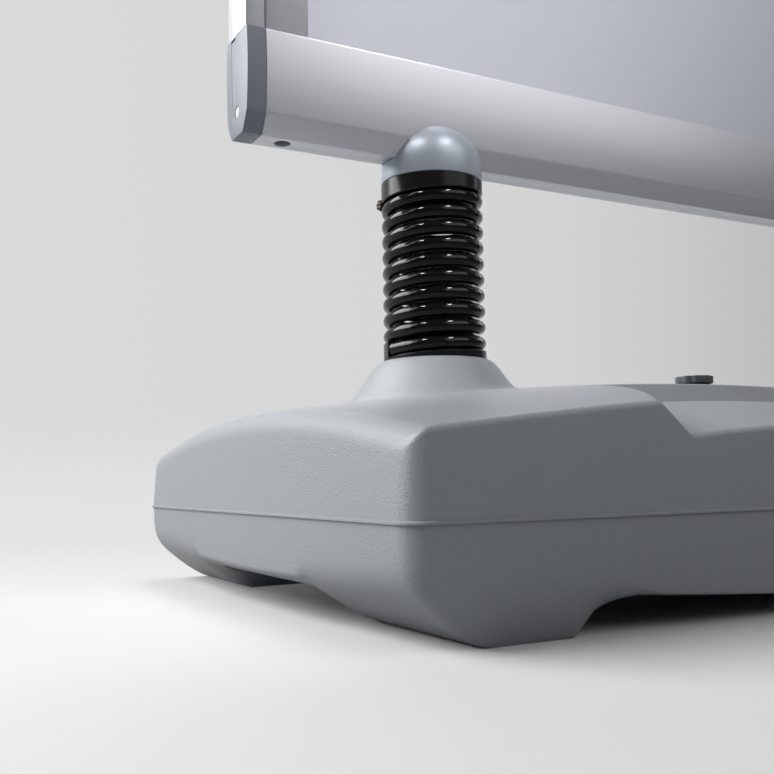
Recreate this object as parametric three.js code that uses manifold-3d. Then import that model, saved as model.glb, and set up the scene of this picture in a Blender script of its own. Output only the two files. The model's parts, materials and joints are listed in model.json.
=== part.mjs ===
// Pavement sign: a double-sided snap frame that stands on two coil springs over a fillable base tank.
// Millimetres, +Z up, the front towards -Y, the origin on the floor under the middle of the tank.

import * as THREE from 'three';
import { mergeVertices } from 'three/addons/utils/BufferGeometryUtils.js';
import Module from 'manifold-3d';

const wasm = await Module();
wasm.setup();

// Fits and fineness shared by all pieces
const gap = 0.3;
const mitreGap = 0.25;
const overrun = 4;
const flatness = 0.01;
const crumbVolume = 1;
const largeSides = 32;
const mediumSides = 24;
const smallSides = 12;
const hexSides = 6;

// Poster and the layers that carry it
const posterWidth = 594;
const posterHeight = 841;
const posterThickness = 0.4;
const posterOverlap = 10;
const coverThickness = 1;
const panelThickness = 10.5;

// Frame extrusions: a fixed outer tube, two shelves, and a hinge ledge for each flap
const frameDepth = 28;
const lipWidth = 11;
const flapWidth = 25.6;
const extrusionWall = 1.6;
const shelfThickness = 1.2;
const ledgeThickness = 1.2;
const hookThickness = 1.2;
const beadRadius = 1.4;
const beadSteps = 10;
const flapFootClearance = 0.5;

// Corner brackets and leaf springs inside the extrusions
const bracketLeg = 60;
const leafThickness = 0.5;
const leafLength = 24;
const leafFoot = 5.6;
const leafRise = 4.8;
const leafReach = 9;
const leafEndInset = 110;

// Bottom rail: bulged faces over a flat underside
const railHeight = 57.6;
const railTopDepth = 30;
const railFootDepth = 16;
const railFootCurve = 6;
const railBulge = 1.6;
const railFloor = 3;
const railFaceSteps = 9;
const drainHoleRadius = 4.65;
const drainHoleInset = 26.6;
const drainHoleDepth = 22;
const screwPortHeight = 13.8;
const screwPortHalfWidth = 3.4;

// Rail end caps and their screws
const capProud = 0.4;
const capBossRadius = 4.6;
const capBossLength = 5;
const capScrewRadius = 1.6;
const capScrewLength = 24;
const capScrewHeadRadius = 2.9;
const capScrewHeadHeight = 1.8;
const capScrewRecess = 2.4;

// Springs with the ring below and the collar above
const springSpacing = 400;
const springRadius = 30.7;
const wireDiameter = 8.4;
const springTurns = 9.75;
const springPitch = 9.6;
const springFootAngle = 180;
const stepsPerTurn = 8;
const wireSides = 5;
const ringLeast = 1;
const collarLeast = 2.4;
const seatSteps = 32;
const seatOverlap = 2;
const wireEndAngle = 17.6;
const stepClearanceAngle = 4.4;
const plugRadius = 17.9;
const ringPlugHeight = 19.6;
const collarPlugHeight = 21.4;

// Saddle cups between the collars and the rail
const cupWeb = 11;
const cupSkirt = 9;
const cupDomeHeight = 26.7;
const cupDomeSteps = 8;

// Bolts
const baseBoltRadius = 5;
const baseBoltHeadRadius = 9.8;
const baseBoltHeadHeight = 6.4;
const baseWasherRadius = 12;
const baseWasherThickness = 2;
const railBoltRadius = 4;
const railBoltHeadRadius = 6.4;
const railBoltHeadHeight = 8;
const railBoltKeyRadius = 3.4;
const railBoltKeyDepth = 4;
const clampPlateLength = 40;
const clampPlateWidth = 12.4;
const clampPlateThickness = 3;
const platePocketMargin = 2;
const holeClearance = 0.4;

// Tank plan
const endBeyondSpring = 123.2;
const tankDepth = 363;
const tankCornerRadius = 20;
const tankDraft = 1.5;
const tankWall = 4;
const topEdgeFillet = 4;
const undersideInset = 12;

// Tank heights above the floor, each surface crowned along its length and its depth
const partingHeight = 49.3;
const ridgeBelowBoss = 52.1;
const ridgeLongRise = 23;
const ridgeCrossRise = 17.6;
const deckBelowBoss = 73.5;
const deckLongRise = 30.5;
const deckCrossRise = 21.2;
const creaseCornerHeight = 28;
const creaseLongDip = 21.5;
const creaseCrossDip = 7.6;
const undersideHeight = 16.4;

// Lowered decks in front of and behind the central spine
const spineDepth = 112;
const spineSlopeRun = 8;
const pocketLength = 302;
const pocketFlare = 51.5;
const pocketSlopeRun = 24.5;

// Fineness of the tank's grid
const cornerSteps = 4;
const footCornerSteps = 3;
const endColumns = 3;
const deckColumns = 3;
const deckRows = 3;

// Tank feet: tapered outside, arched towards each other
const footOuterInset = 37;
const footFrontInset = 9;
const footLength = 41;
const footDepth = 93;
const footArchRun = 48;
const footSideArchRun = 5;
const footOuterTopInset = 4;
const footFrontTopInset = 2.6;
const footTopHeight = 27;
const footCornerRadius = 14;
const footArchSteps = 3;
const footHollowClearance = 1.5;

// Spring bosses on the tank and the bolt wells under them
const bossTopHeight = 134.7;
const bossFootDrop = 26.7;
const bossFootRadius = 52.6;
const bossShoulderDrop = 4;
const bossShoulderRadius = 37.1;
const bossTopRadius = 31.6;
const bossPlate = 12;
const pillarRadius = 18;
const wellRadius = 13;
const boltedThickness = 30;

// Filler neck and its screw cap
const fillerSetForward = 12;
const fillerSeatRadius = 15;
const fillerSeatRise = 1.7;
const fillerNeckRadius = 11.5;
const fillerNeckLength = 16;
const fillerBoreRadius = 8.2;
const sealThickness = 1.2;
const sealWidth = 2.6;
const capKnobRadius = 12.5;
const capKnobHeight = 4.8;
const capScallops = 10;
const capScallopDepth = 1.1;
const capPointsPerScallop = 6;
const capPlugLength = 13;
const capPlugClearance = 0.4;

// Places worked out from the sizes above
const frameFace = lipWidth + gap + flapWidth;
const posterEdge = frameFace - posterOverlap;
const halfWidth = posterWidth / 2 + posterEdge;
const hingeAcross = lipWidth + gap + beadRadius;
const hingeDepth = frameDepth / 2 - beadRadius;
const shelfInner = panelThickness / 2 + gap;
const shelfOuter = shelfInner + shelfThickness;
const posterInner = shelfOuter + gap;
const coverInner = posterInner + posterThickness + gap;
const flapLipEnd = coverInner + coverThickness + gap;
const tubeBore = lipWidth - 2 * extrusionWall;
const springX = springSpacing / 2;
const coilRadius = springRadius - wireDiameter / 2;
const coilSlope = springPitch / (2 * Math.PI * coilRadius);
const springTail = wireDiameter;
const springHeadAngle = springFootAngle + 2 * wireEndAngle + springTurns * 360;
const springLength = wireDiameter + springTurns * springPitch + 2 * springTail * coilSlope;
const bossFootHeight = bossTopHeight - bossFootDrop;
const bossShoulderHeight = bossTopHeight - bossShoulderDrop;
const ridgeCornerHeight = bossTopHeight - ridgeBelowBoss;
const deckCornerHeight = bossTopHeight - deckBelowBoss;
const drainHoleX = halfWidth - drainHoleInset;
const ringBottom = bossTopHeight + gap;
const ringPlugTop = ringBottom + ringPlugHeight;
const springBottom = ringBottom + ringLeast + gap;
const collarTop = springBottom + springLength + gap + collarLeast;
const collarPlugBottom = collarTop - collarPlugHeight;
const cupBottom = collarTop + gap;
const railBottom = cupBottom + cupWeb + gap;
const railTop = railBottom + railHeight;
const frameBottom = railTop + gap;
const frameTop = frameBottom + posterHeight + posterEdge;
const halfLength = springX + endBeyondSpring;
const halfDepth = tankDepth / 2;
const wellTop = bossTopHeight - boltedThickness;
const fillerSeatHeight = ridgeHeight(0, fillerSetForward) + fillerSeatRise;

// Looks of each material
const grey = { color: 0x8d9499, roughness: 0.6, metalness: 0 };
const capGrey = { color: 0x7d8890, roughness: 0.45, metalness: 0 };
const darkGrey = { color: 0x55595c, roughness: 0.55, metalness: 0 };
const gloss = { color: 0x0c0c0d, roughness: 0.15, metalness: 0.2 };
const aluminium = { color: 0xb4b8bb, roughness: 0.4, metalness: 0.9 };
const steel = { color: 0x9a9c9e, roughness: 0.35, metalness: 0.95 };
const rubber = { color: 0x1b1b1b, roughness: 0.85, metalness: 0 };
const paper = { color: 0xe4e7ea, roughness: 0.8, metalness: 0 };
const board = { color: 0xf0f0ee, roughness: 0.7, metalness: 0 };
const clear = { color: 0xeef3f6, roughness: 0.1, metalness: 0, transparent: true, opacity: 0.25 };

const sign = new THREE.Group();

function addPiece(name, piece, look, turn = 0) {
  const solid = piece instanceof THREE.BufferGeometry ? toSolid(piece) : piece;
  const mesh = new THREE.Mesh(toGeometry(solid), new THREE.MeshStandardMaterial(look));
  mesh.name = name;
  mesh.rotation.z = turn;
  sign.add(mesh);
}

// Shared vertices merged, collapsed triangles dropped and the faces turned outwards
function welded(geometry) {
  const bare = geometry.clone();
  bare.deleteAttribute('normal');
  bare.deleteAttribute('uv');
  const merged = mergeVertices(bare);
  const points = merged.attributes.position;
  const corners = [0, 1, 2].map(() => new THREE.Vector3());
  const triangles = [];
  let volume = 0;
  for (let start = 0; start < merged.index.count; start += 3) {
    const triangle = [0, 1, 2].map((corner) => merged.index.getX(start + corner));
    if (new Set(triangle).size < 3) {
      continue;
    }
    triangles.push(triangle);
    triangle.forEach((index, corner) => corners[corner].fromBufferAttribute(points, index));
    volume += corners[0].dot(corners[1].clone().cross(corners[2]));
  }
  if (volume < 0) {
    triangles.forEach((triangle) => triangle.reverse());
  }
  merged.setIndex(triangles.flat());
  return merged;
}

function toSolid(geometry) {
  const closed = welded(geometry);
  return new wasm.Manifold(new wasm.Mesh({
    numProp: 3,
    vertProperties: new Float32Array(closed.attributes.position.array),
    triVerts: new Uint32Array(closed.index.array),
  }));
}

// The crumbs are left where two curved walls graze each other
function toGeometry(solid) {
  const bodies = solid.simplify(flatness).decompose().filter((body) => body.volume() > crumbVolume);
  const mesh = wasm.Manifold.compose(bodies).getMesh();
  const geometry = new THREE.BufferGeometry();
  geometry.setAttribute('position', new THREE.BufferAttribute(mesh.vertProperties, 3));
  geometry.setIndex(new THREE.BufferAttribute(mesh.triVerts, 1));
  return geometry;
}

function joined(geometries) {
  return geometries.map(toSolid).reduce((whole, solid) => whole.add(solid));
}

function cut(whole, cutters) {
  return cutters.map(toSolid).reduce((rest, cutter) => rest.subtract(cutter), whole);
}

// A round bar along Z
function rod(radius, bottom, top, x, y, sides = smallSides) {
  const geometry = new THREE.CylinderGeometry(radius, radius, top - bottom, sides);
  return geometry.rotateX(Math.PI / 2).translate(x, y, (bottom + top) / 2);
}

// A round bar along X
function crossRod(radius, from, to, y, z, sides = smallSides) {
  const geometry = new THREE.CylinderGeometry(radius, radius, to - from, sides);
  return geometry.rotateZ(Math.PI / 2).translate((from + to) / 2, y, z);
}

// A shape turned about a vertical axis, its profile given as radius and height
function turned(profile, x, y, sides = largeSides) {
  const points = profile.map(([radius, height]) => new THREE.Vector2(radius, height));
  return new THREE.LatheGeometry(points, sides).rotateX(Math.PI / 2).translate(x, y, 0);
}

function block(from, to) {
  const size = to.map((value, axis) => value - from[axis]);
  const middle = to.map((value, axis) => (value + from[axis]) / 2);
  return new THREE.BoxGeometry(...size).translate(...middle);
}

function shapeOf(points, holes = []) {
  const shape = new THREE.Shape(points.map(([a, b]) => new THREE.Vector2(a, b)));
  holes.forEach((hole) => shape.holes.push(new THREE.Path(hole.map(([a, b]) => new THREE.Vector2(a, b)))));
  return shape;
}

function circlePoints(radius, a, b, sides) {
  return Array.from({ length: sides }, (_, step) => {
    const angle = (2 * Math.PI * step) / sides;
    return [a + radius * Math.cos(angle), b + radius * Math.sin(angle)];
  });
}

// A section in Y and Z drawn out along X
function alongX(shape, from, to) {
  const geometry = new THREE.ExtrudeGeometry(shape, { depth: to - from, bevelEnabled: false });
  const basis = new THREE.Matrix4().makeBasis(axisY, axisZ, axisX);
  return geometry.applyMatrix4(basis).translate(from, 0, 0);
}

// Tank surfaces

function crown(x, y, corner, longRise, crossRise) {
  return corner + longRise * (1 - (x / halfLength) ** 2) + crossRise * (1 - (y / halfDepth) ** 2);
}

function ridgeHeight(x, y) {
  return crown(x, y, ridgeCornerHeight, ridgeLongRise, ridgeCrossRise);
}

function deckHeight(x, y) {
  return crown(x, y, deckCornerHeight, deckLongRise, deckCrossRise);
}

function creaseHeight(x, y) {
  return crown(x, y, creaseCornerHeight, -creaseLongDip, -creaseCrossDip);
}

// Half the length of a lowered deck at its top edge, wider where it opens at the tank's face
function pocketHalfLength(y) {
  const flareShare = Math.max(0, Math.abs(y) - spineDepth / 2) / (halfDepth - spineDepth / 2);
  return pocketLength / 2 + pocketFlare * flareShare ** 2;
}

// Grid lines across the tank: round its corners, over its end, down the slope and along the deck
function tankColumns() {
  const straightEdge = (inset) => halfDepth - inset;
  const columns = [];
  for (let step = 0; step <= cornerSteps; step++) {
    const angle = (1 - step / cornerSteps) * (Math.PI / 2);
    columns.push({
      x: (y, inset) => tankCornerRadius - halfLength - (tankCornerRadius - inset) * Math.sin(angle),
      edge: (inset) => halfDepth - tankCornerRadius + (tankCornerRadius - inset) * Math.cos(angle),
      deck: false,
    });
  }
  for (let step = 1; step <= endColumns; step++) {
    const endShare = step / endColumns;
    const endX = (y) => THREE.MathUtils.lerp(halfLength - tankCornerRadius, pocketHalfLength(y), endShare);
    columns.push({ x: (y) => -endX(y), edge: straightEdge, deck: false });
  }
  for (let step = 0; step < deckColumns; step++) {
    const deckShare = 1 - step / deckColumns;
    const deckX = (y) => (pocketHalfLength(y) - pocketSlopeRun) * deckShare;
    columns.push({ x: (y) => -deckX(y), edge: straightEdge, deck: true });
  }
  const mirrored = columns.map((column) => ({ ...column, x: (y, inset) => -column.x(y, inset) })).reverse();
  return [...columns, { x: () => 0, edge: straightEdge, deck: true }, ...mirrored];
}

// Grid lines along the tank: over the front deck, up the slope and over the spine
function tankRows() {
  const rows = [];
  const spineFoot = spineDepth / 2 + spineSlopeRun;
  for (let step = 0; step <= deckRows; step++) {
    const y = THREE.MathUtils.lerp(halfDepth, spineFoot, step / deckRows);
    rows.push({ edgeShare: -y / halfDepth, deck: true });
  }
  rows.push({ edgeShare: -spineDepth / 2 / halfDepth, deck: false });
  const mirrored = rows.map((row) => ({ ...row, edgeShare: -row.edgeShare })).reverse();
  return [...rows, { edgeShare: 0, deck: false }, ...mirrored];
}

// A closed surface from a top grid through rings round its edge to a bottom grid
function gridSolid(layers) {
  const columns = tankColumns();
  const rows = tankRows();
  const lastColumn = columns.length - 1;
  const lastRow = rows.length - 1;
  const rim = [
    ...columns.map((_, column) => [column, 0]),
    ...rows.slice(1).map((_, row) => [lastColumn, row + 1]),
    ...columns.slice(1).map((_, column) => [lastColumn - 1 - column, lastRow]),
    ...rows.slice(2).map((_, row) => [0, lastRow - 1 - row]),
  ];
  const positions = [];
  const indices = [];
  function addPoint(layer, [column, row]) {
    const y = rows[row].edgeShare * columns[column].edge(layer.inset);
    const x = columns[column].x(y, layer.inset);
    positions.push(x, y, layer.height(x, y, columns[column].deck && rows[row].deck));
    return positions.length / 3 - 1;
  }
  function addGrid(layer) {
    const grid = columns.map((_, column) => rows.map((__, row) => addPoint(layer, [column, row])));
    for (let column = 0; column < lastColumn; column++) {
      for (let row = 0; row < lastRow; row++) {
        const [near, next] = [grid[column], grid[column + 1]];
        const corners = [near[row], next[row], next[row + 1], near[row + 1]];
        addQuad(indices, layer === layers[0] ? corners : corners.reverse());
      }
    }
    return rim.map(([column, row]) => grid[column][row]);
  }
  const rings = layers.map((layer, level) => {
    const inner = level > 0 && level < layers.length - 1;
    return inner ? rim.map((place) => addPoint(layer, place)) : addGrid(layer);
  });
  for (let level = 1; level < rings.length; level++) {
    joinRings(indices, rings[level], rings[level - 1]);
  }
  return surface(positions, indices);
}

function addQuad(indices, [a, b, c, d]) {
  indices.push(a, b, c, a, c, d);
}

function joinRings(indices, lower, upper) {
  lower.forEach((point, step) => {
    const next = (step + 1) % lower.length;
    addQuad(indices, [point, lower[next], upper[next], upper[step]]);
  });
}

function surface(positions, indices) {
  const geometry = new THREE.BufferGeometry();
  geometry.setAttribute('position', new THREE.Float32BufferAttribute(positions, 3));
  geometry.setIndex(indices);
  return geometry;
}

// Rings of points, from the lowest up, joined into a closed convex-ended solid
function loft(rings) {
  const positions = rings.flat(2);
  const count = rings[0].length;
  const ring = (level) => Array.from({ length: count }, (_, step) => level * count + step);
  const indices = [];
  for (let level = 1; level < rings.length; level++) {
    joinRings(indices, ring(level - 1), ring(level));
  }
  const top = (rings.length - 1) * count;
  for (let step = 1; step < count - 1; step++) {
    indices.push(0, step + 1, step);
    indices.push(top, top + step, top + step + 1);
  }
  return surface(positions, indices);
}

function roundedRing(left, right, front, back, radius, height) {
  const centres = [[right - radius, back - radius], [left + radius, back - radius],
    [left + radius, front + radius], [right - radius, front + radius]];
  return centres.flatMap(([x, y], corner) => Array.from({ length: footCornerSteps + 1 }, (_, step) => {
    const angle = (corner + step / footCornerSteps) * (Math.PI / 2);
    return [x + radius * Math.cos(angle), y + radius * Math.sin(angle), height];
  }));
}

function tankTop(drop) {
  return (x, y, onDeck) => (onDeck ? deckHeight(x, y) : ridgeHeight(x, y)) - drop;
}

function tankSkin() {
  const filletShare = 1 - Math.SQRT1_2;
  return gridSolid([
    { inset: tankDraft + topEdgeFillet, height: tankTop(0) },
    { inset: tankDraft + topEdgeFillet * filletShare, height: tankTop(topEdgeFillet * filletShare) },
    { inset: tankDraft, height: tankTop(topEdgeFillet) },
    { inset: 0, height: () => partingHeight },
    { inset: tankDraft, height: creaseHeight },
    { inset: tankDraft + undersideInset, height: () => undersideHeight },
  ]);
}

function tankCavity() {
  return gridSolid([
    { inset: tankDraft + topEdgeFillet + tankWall, height: tankTop(tankWall) },
    { inset: tankDraft + tankWall, height: tankTop(tankWall + topEdgeFillet) },
    { inset: tankWall, height: () => partingHeight },
    { inset: tankDraft + tankWall, height: (x, y) => creaseHeight(x, y) + 2 * tankWall },
    { inset: tankDraft + undersideInset + tankWall, height: () => undersideHeight + tankWall },
  ]);
}

// The outside of a foot and the hollow in it, each between a bottom and a top level
const hollowFootTopInset = tankDraft + undersideInset + tankWall + footHollowClearance;
const footOutside = {
  wall: 0,
  bottom: 0,
  top: footTopHeight,
  insetX: [footOuterInset, footOuterTopInset],
  insetY: [footFrontInset, footFrontTopInset],
};
const footHollow = {
  wall: tankWall,
  bottom: tankWall,
  top: undersideHeight + tankWall + footHollowClearance,
  insetX: [footOuterInset + tankWall, hollowFootTopInset],
  insetY: [footFrontInset + tankWall, hollowFootTopInset],
};

// A foot at one corner of the tank: straight outside, arched towards its neighbours
function foot(sideX, sideY, form) {
  const stations = [];
  for (let step = 0; step <= footArchSteps; step++) {
    const angle = (step / footArchSteps) * (Math.PI / 2);
    const riseShare = (undersideHeight * Math.sin(angle)) / footTopHeight;
    stations.push({ riseShare, archShare: 1 - Math.cos(angle) });
  }
  stations.push({ riseShare: 1, archShare: 1 });
  const rings = stations.map(({ riseShare, archShare }) => roundedRing(
    halfLength - footOuterInset - footLength - footArchRun * archShare + form.wall,
    halfLength - THREE.MathUtils.lerp(...form.insetX, riseShare),
    halfDepth - footFrontInset - footDepth - footSideArchRun * archShare + form.wall,
    halfDepth - THREE.MathUtils.lerp(...form.insetY, riseShare),
    footCornerRadius - form.wall,
    THREE.MathUtils.lerp(form.bottom, form.top, riseShare),
  ));
  return loft(rings).scale(sideX, sideY, 1);
}

function bossProfile(shrink, top) {
  return [
    [0, bossFootHeight],
    [bossFootRadius - shrink, bossFootHeight],
    [bossShoulderRadius - shrink, Math.min(bossShoulderHeight, top)],
    [bossTopRadius - shrink, top],
    [0, top],
  ];
}

function baseTank() {
  const sides = [-1, 1];
  const corners = sides.flatMap((sideX) => sides.map((sideY) => [sideX, sideY]));
  const hollowTop = bossTopHeight - bossPlate;
  const outside = joined([
    tankSkin(),
    ...corners.map(([sideX, sideY]) => foot(sideX, sideY, footOutside)),
    ...sides.map((side) => turned(bossProfile(0, bossTopHeight), side * springX, 0)),
  ]);
  const hollow = joined([
    tankCavity(),
    ...corners.map(([sideX, sideY]) => foot(sideX, sideY, footHollow)),
    ...sides.map((side) => turned(bossProfile(tankWall, hollowTop), side * springX, 0)),
  ]);
  const neckBottom = fillerSeatHeight - fillerNeckLength;
  const neckY = -fillerSetForward;
  const pillarTop = bossTopHeight - bossPlate / 2;
  const inserts = joined([
    ...sides.map((side) => rod(pillarRadius, undersideHeight, pillarTop, side * springX, 0, mediumSides)),
    rod(fillerNeckRadius, neckBottom, fillerSeatHeight - gap, 0, neckY, mediumSides),
    rod(fillerSeatRadius, fillerSeatHeight - tankWall, fillerSeatHeight, 0, neckY, mediumSides),
  ]);
  const holeRadius = baseBoltRadius + holeClearance;
  return cut(outside.subtract(hollow).add(inserts), [
    ...sides.map((side) => rod(wellRadius, -overrun, wellTop, side * springX, 0, mediumSides)),
    ...sides.map((side) => rod(holeRadius, -overrun, bossTopHeight + overrun, side * springX, 0)),
    rod(fillerBoreRadius, neckBottom - overrun, fillerSeatHeight + overrun, 0, neckY, mediumSides),
  ]);
}

// Filler cap: a scalloped knob over a plug, with a flat seal under the knob
function fillerCap() {
  const bottom = fillerSeatHeight + gap + sealThickness + gap;
  const count = capScallops * capPointsPerScallop;
  const outline = Array.from({ length: count }, (_, step) => {
    const angle = (2 * Math.PI * step) / count;
    const radius = capKnobRadius - capScallopDepth * Math.abs(Math.cos((capScallops * angle) / 2)) ** 2;
    return [radius * Math.cos(angle), radius * Math.sin(angle)];
  });
  const knob = new THREE.ExtrudeGeometry(shapeOf(outline), { depth: capKnobHeight, bevelEnabled: false });
  const plug = rod(fillerBoreRadius - capPlugClearance, bottom - capPlugLength, bottom + capKnobHeight / 2,
    0, -fillerSetForward, mediumSides);
  return joined([knob.translate(0, -fillerSetForward, bottom), plug]);
}

function flatRing(innerRadius, outerRadius, bottom, top, x, y, sides) {
  const profile = [[innerRadius, bottom], [outerRadius, bottom], [outerRadius, top], [innerRadius, top]];
  return turned([...profile, profile[0]], x, y, sides);
}

function capSeal() {
  const bottom = fillerSeatHeight + gap;
  const top = bottom + sealThickness;
  const outer = fillerBoreRadius + sealWidth;
  return flatRing(fillerBoreRadius, outer, bottom, top, 0, -fillerSetForward, mediumSides);
}

// Coil spring: one unbroken right-handed tube with straight ends

function springPath() {
  const steps = springTurns * stepsPerTurn;
  const startAngle = THREE.MathUtils.degToRad(springFootAngle + wireEndAngle);
  const lowest = springBottom + wireDiameter / 2 + springTail * coilSlope;
  const stations = Array.from({ length: steps + 1 }, (_, step) => {
    const angle = startAngle + (2 * Math.PI * step) / stepsPerTurn;
    const outwards = new THREE.Vector3(Math.cos(angle), Math.sin(angle), 0);
    const onwards = new THREE.Vector3(-Math.sin(angle), Math.cos(angle), coilSlope).normalize();
    const point = outwards.clone().multiplyScalar(coilRadius);
    point.z = lowest + (springPitch * step) / stepsPerTurn;
    return { point, outwards, onwards };
  });
  const first = stations[0];
  const last = stations[stations.length - 1];
  const tailFrom = (station, length) => ({
    ...station,
    point: station.point.clone().addScaledVector(station.onwards, length),
  });
  return [tailFrom(first, -springTail), ...stations, tailFrom(last, springTail)];
}

function coilSpring(x) {
  const positions = [];
  const indices = [];
  const rings = springPath().map(({ point, outwards, onwards }) => {
    const across = onwards.clone().cross(outwards);
    return Array.from({ length: wireSides }, (_, side) => {
      const angle = (2 * Math.PI * side) / wireSides;
      const place = point.clone()
        .addScaledVector(outwards, (wireDiameter / 2) * Math.cos(angle))
        .addScaledVector(across, (wireDiameter / 2) * Math.sin(angle));
      positions.push(place.x + x, place.y, place.z);
      return positions.length / 3 - 1;
    });
  });
  for (let level = 1; level < rings.length; level++) {
    joinRings(indices, rings[level - 1], rings[level]);
  }
  const last = rings[rings.length - 1];
  for (let side = 1; side < wireSides - 1; side++) {
    indices.push(rings[0][0], rings[0][side + 1], rings[0][side]);
    indices.push(last[0], last[side], last[side + 1]);
  }
  return surface(positions, indices);
}

// The least distance between the tube's points that lie more than half a turn apart
function leastGap(geometry) {
  const points = geometry.attributes.position;
  const halfTurn = (stepsPerTurn / 2) * wireSides;
  const a = new THREE.Vector3();
  const b = new THREE.Vector3();
  let least = Infinity;
  for (let from = 0; from < points.count; from++) {
    a.fromBufferAttribute(points, from);
    for (let to = from + halfTurn + wireSides; to < points.count; to++) {
      least = Math.min(least, a.distanceTo(b.fromBufferAttribute(points, to)));
    }
  }
  return least;
}

// A seat that winds along under an end of the wire, from its thin start to the step that the wire's end meets

function springSeat(x, base, upwards, footAngle, least) {
  const positions = [];
  const indices = [];
  const start = THREE.MathUtils.degToRad(footAngle - upwards * stepClearanceAngle);
  const place = (radius, angle, height) => {
    positions.push(x + radius * Math.cos(angle), radius * Math.sin(angle), height);
    return positions.length / 3 - 1;
  };
  const sections = Array.from({ length: seatSteps + 1 }, (_, step) => {
    const angle = start + (upwards * 2 * Math.PI * step) / seatSteps;
    const thickness = least + springPitch * (step / seatSteps - stepClearanceAngle / 360);
    const crest = base + upwards * thickness;
    const inner = plugRadius - seatOverlap;
    return [place(springRadius, angle, base), place(springRadius, angle, crest),
      place(inner, angle, crest), place(inner, angle, base)];
  });
  for (let step = 1; step < seatSteps; step++) {
    joinRings(indices, sections[step], sections[step - 1]);
  }
  const [outerBase, outerFirst, innerFirst, innerBase] = sections[0];
  const [outerFoot, outerCrest, innerCrest, innerFoot] = sections[seatSteps - 1];
  const [, outerLast, innerLast] = sections[seatSteps];
  indices.push(outerFoot, outerBase, outerFirst);
  addQuad(indices, [outerFoot, outerFirst, outerLast, outerCrest]);
  indices.push(innerFoot, innerFirst, innerBase);
  addQuad(indices, [innerFoot, innerCrest, innerLast, innerFirst]);
  addQuad(indices, [outerCrest, outerLast, innerLast, innerCrest]);
  addQuad(indices, [innerFoot, innerBase, outerBase, outerFoot]);
  addQuad(indices, [outerFirst, innerFirst, innerLast, outerLast]);
  return surface(positions, indices);
}

// Steel rings at the ends of a spring, each with a threaded plug inside the coil and a seat for the wire

function springRing(x) {
  const bore = baseBoltRadius + gap;
  const plug = flatRing(bore, plugRadius, ringBottom, ringPlugTop, x, 0, mediumSides);
  return joined([springSeat(x, ringBottom, 1, springFootAngle, ringLeast), plug]);
}

function springCollar(x) {
  const bore = railBoltRadius + gap;
  const plug = flatRing(bore, plugRadius, collarPlugBottom, collarTop, x, 0, mediumSides);
  return joined([springSeat(x, collarTop, -1, springHeadAngle, collarLeast), plug]);
}

// Bottom rail

function railHalfDepth(z) {
  const share = THREE.MathUtils.clamp((z - railBottom) / railHeight, 0, 1);
  const narrowing = (railTopDepth - railFootDepth) * (1 - share) ** railFootCurve;
  return (railTopDepth - narrowing) / 2 + 4 * railBulge * share * (1 - share);
}

// Points up the +Y face and down the -Y face, between two heights
function railSection(bottom, top, grow) {
  const heightAt = (_, step) => THREE.MathUtils.lerp(bottom, top, step / railFaceSteps);
  const heights = Array.from({ length: railFaceSteps + 1 }, heightAt);
  const rising = heights.map((z) => [railHalfDepth(z) + grow, z]);
  return [...rising, ...rising.map(([y, z]) => [-y, z]).reverse()];
}

function bottomRail() {
  const start = lipWidth + gap - halfWidth;
  const tubeTop = railTop - extrusionWall;
  const tubeBottom = tubeTop - tubeBore;
  const tubeHalf = frameDepth / 2 - extrusionWall;
  const portHeight = railBottom + screwPortHeight;
  const portTop = portHeight + screwPortHalfWidth;
  const floor = railBottom + railFloor;
  const tube = [[-tubeHalf, tubeBottom], [tubeHalf, tubeBottom], [tubeHalf, tubeTop], [-tubeHalf, tubeTop]];
  const inside = railSection(floor, tubeBottom - extrusionWall, -extrusionWall);
  const chamber = [...inside, [-screwPortHalfWidth, floor], [-screwPortHalfWidth, portTop],
    [screwPortHalfWidth, portTop], [screwPortHalfWidth, floor]];
  const port = circlePoints(capScrewRadius + gap, 0, portHeight, smallSides);
  const section = shapeOf(railSection(railBottom, railTop, 0), [tube, chamber, port]);
  const pocketHalf = clampPlateLength / 2 + platePocketMargin;
  const holes = [-1, 1].flatMap((side) => [
    rod(railBoltRadius + holeClearance, railBottom - overrun, floor + overrun, side * springX, 0),
    rod(drainHoleRadius, railBottom - overrun, railBottom + drainHoleDepth, side * drainHoleX, 0),
    block([side * springX - pocketHalf, -screwPortHalfWidth - gap, floor],
      [side * springX + pocketHalf, screwPortHalfWidth + gap, portTop + gap]),
  ]);
  return cut(toSolid(alongX(section, start, -start)), holes);
}

// The left end cap: an open-topped cup over the rail's end, with a boss for its screw
function railEndCap() {
  const outer = alongX(shapeOf(railSection(railBottom, railTop, capProud)), -halfWidth, lipWidth - halfWidth);
  const hollow = alongX(
    shapeOf(railSection(railBottom + extrusionWall, railTop + overrun, -extrusionWall)),
    extrusionWall - halfWidth,
    lipWidth - halfWidth + overrun,
  );
  const height = railBottom + screwPortHeight;
  const boss = crossRod(capBossRadius, extrusionWall / 2 - halfWidth, capBossLength - halfWidth, 0, height);
  const shell = cut(toSolid(outer), [hollow]).add(toSolid(boss));
  return cut(shell, [
    crossRod(capScrewHeadRadius + gap, -halfWidth - overrun, capScrewRecess - halfWidth, 0, height),
    crossRod(capScrewRadius + gap, -halfWidth - overrun, capBossLength - halfWidth + overrun, 0, height),
  ]);
}

function railCapScrew() {
  const height = railBottom + screwPortHeight;
  const seat = capScrewRecess - gap - halfWidth;
  return joined([
    crossRod(capScrewHeadRadius, seat - capScrewHeadHeight, seat, 0, height),
    crossRod(capScrewRadius, seat - capScrewHeadHeight / 2, seat + capScrewLength, 0, height),
  ]);
}

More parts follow.
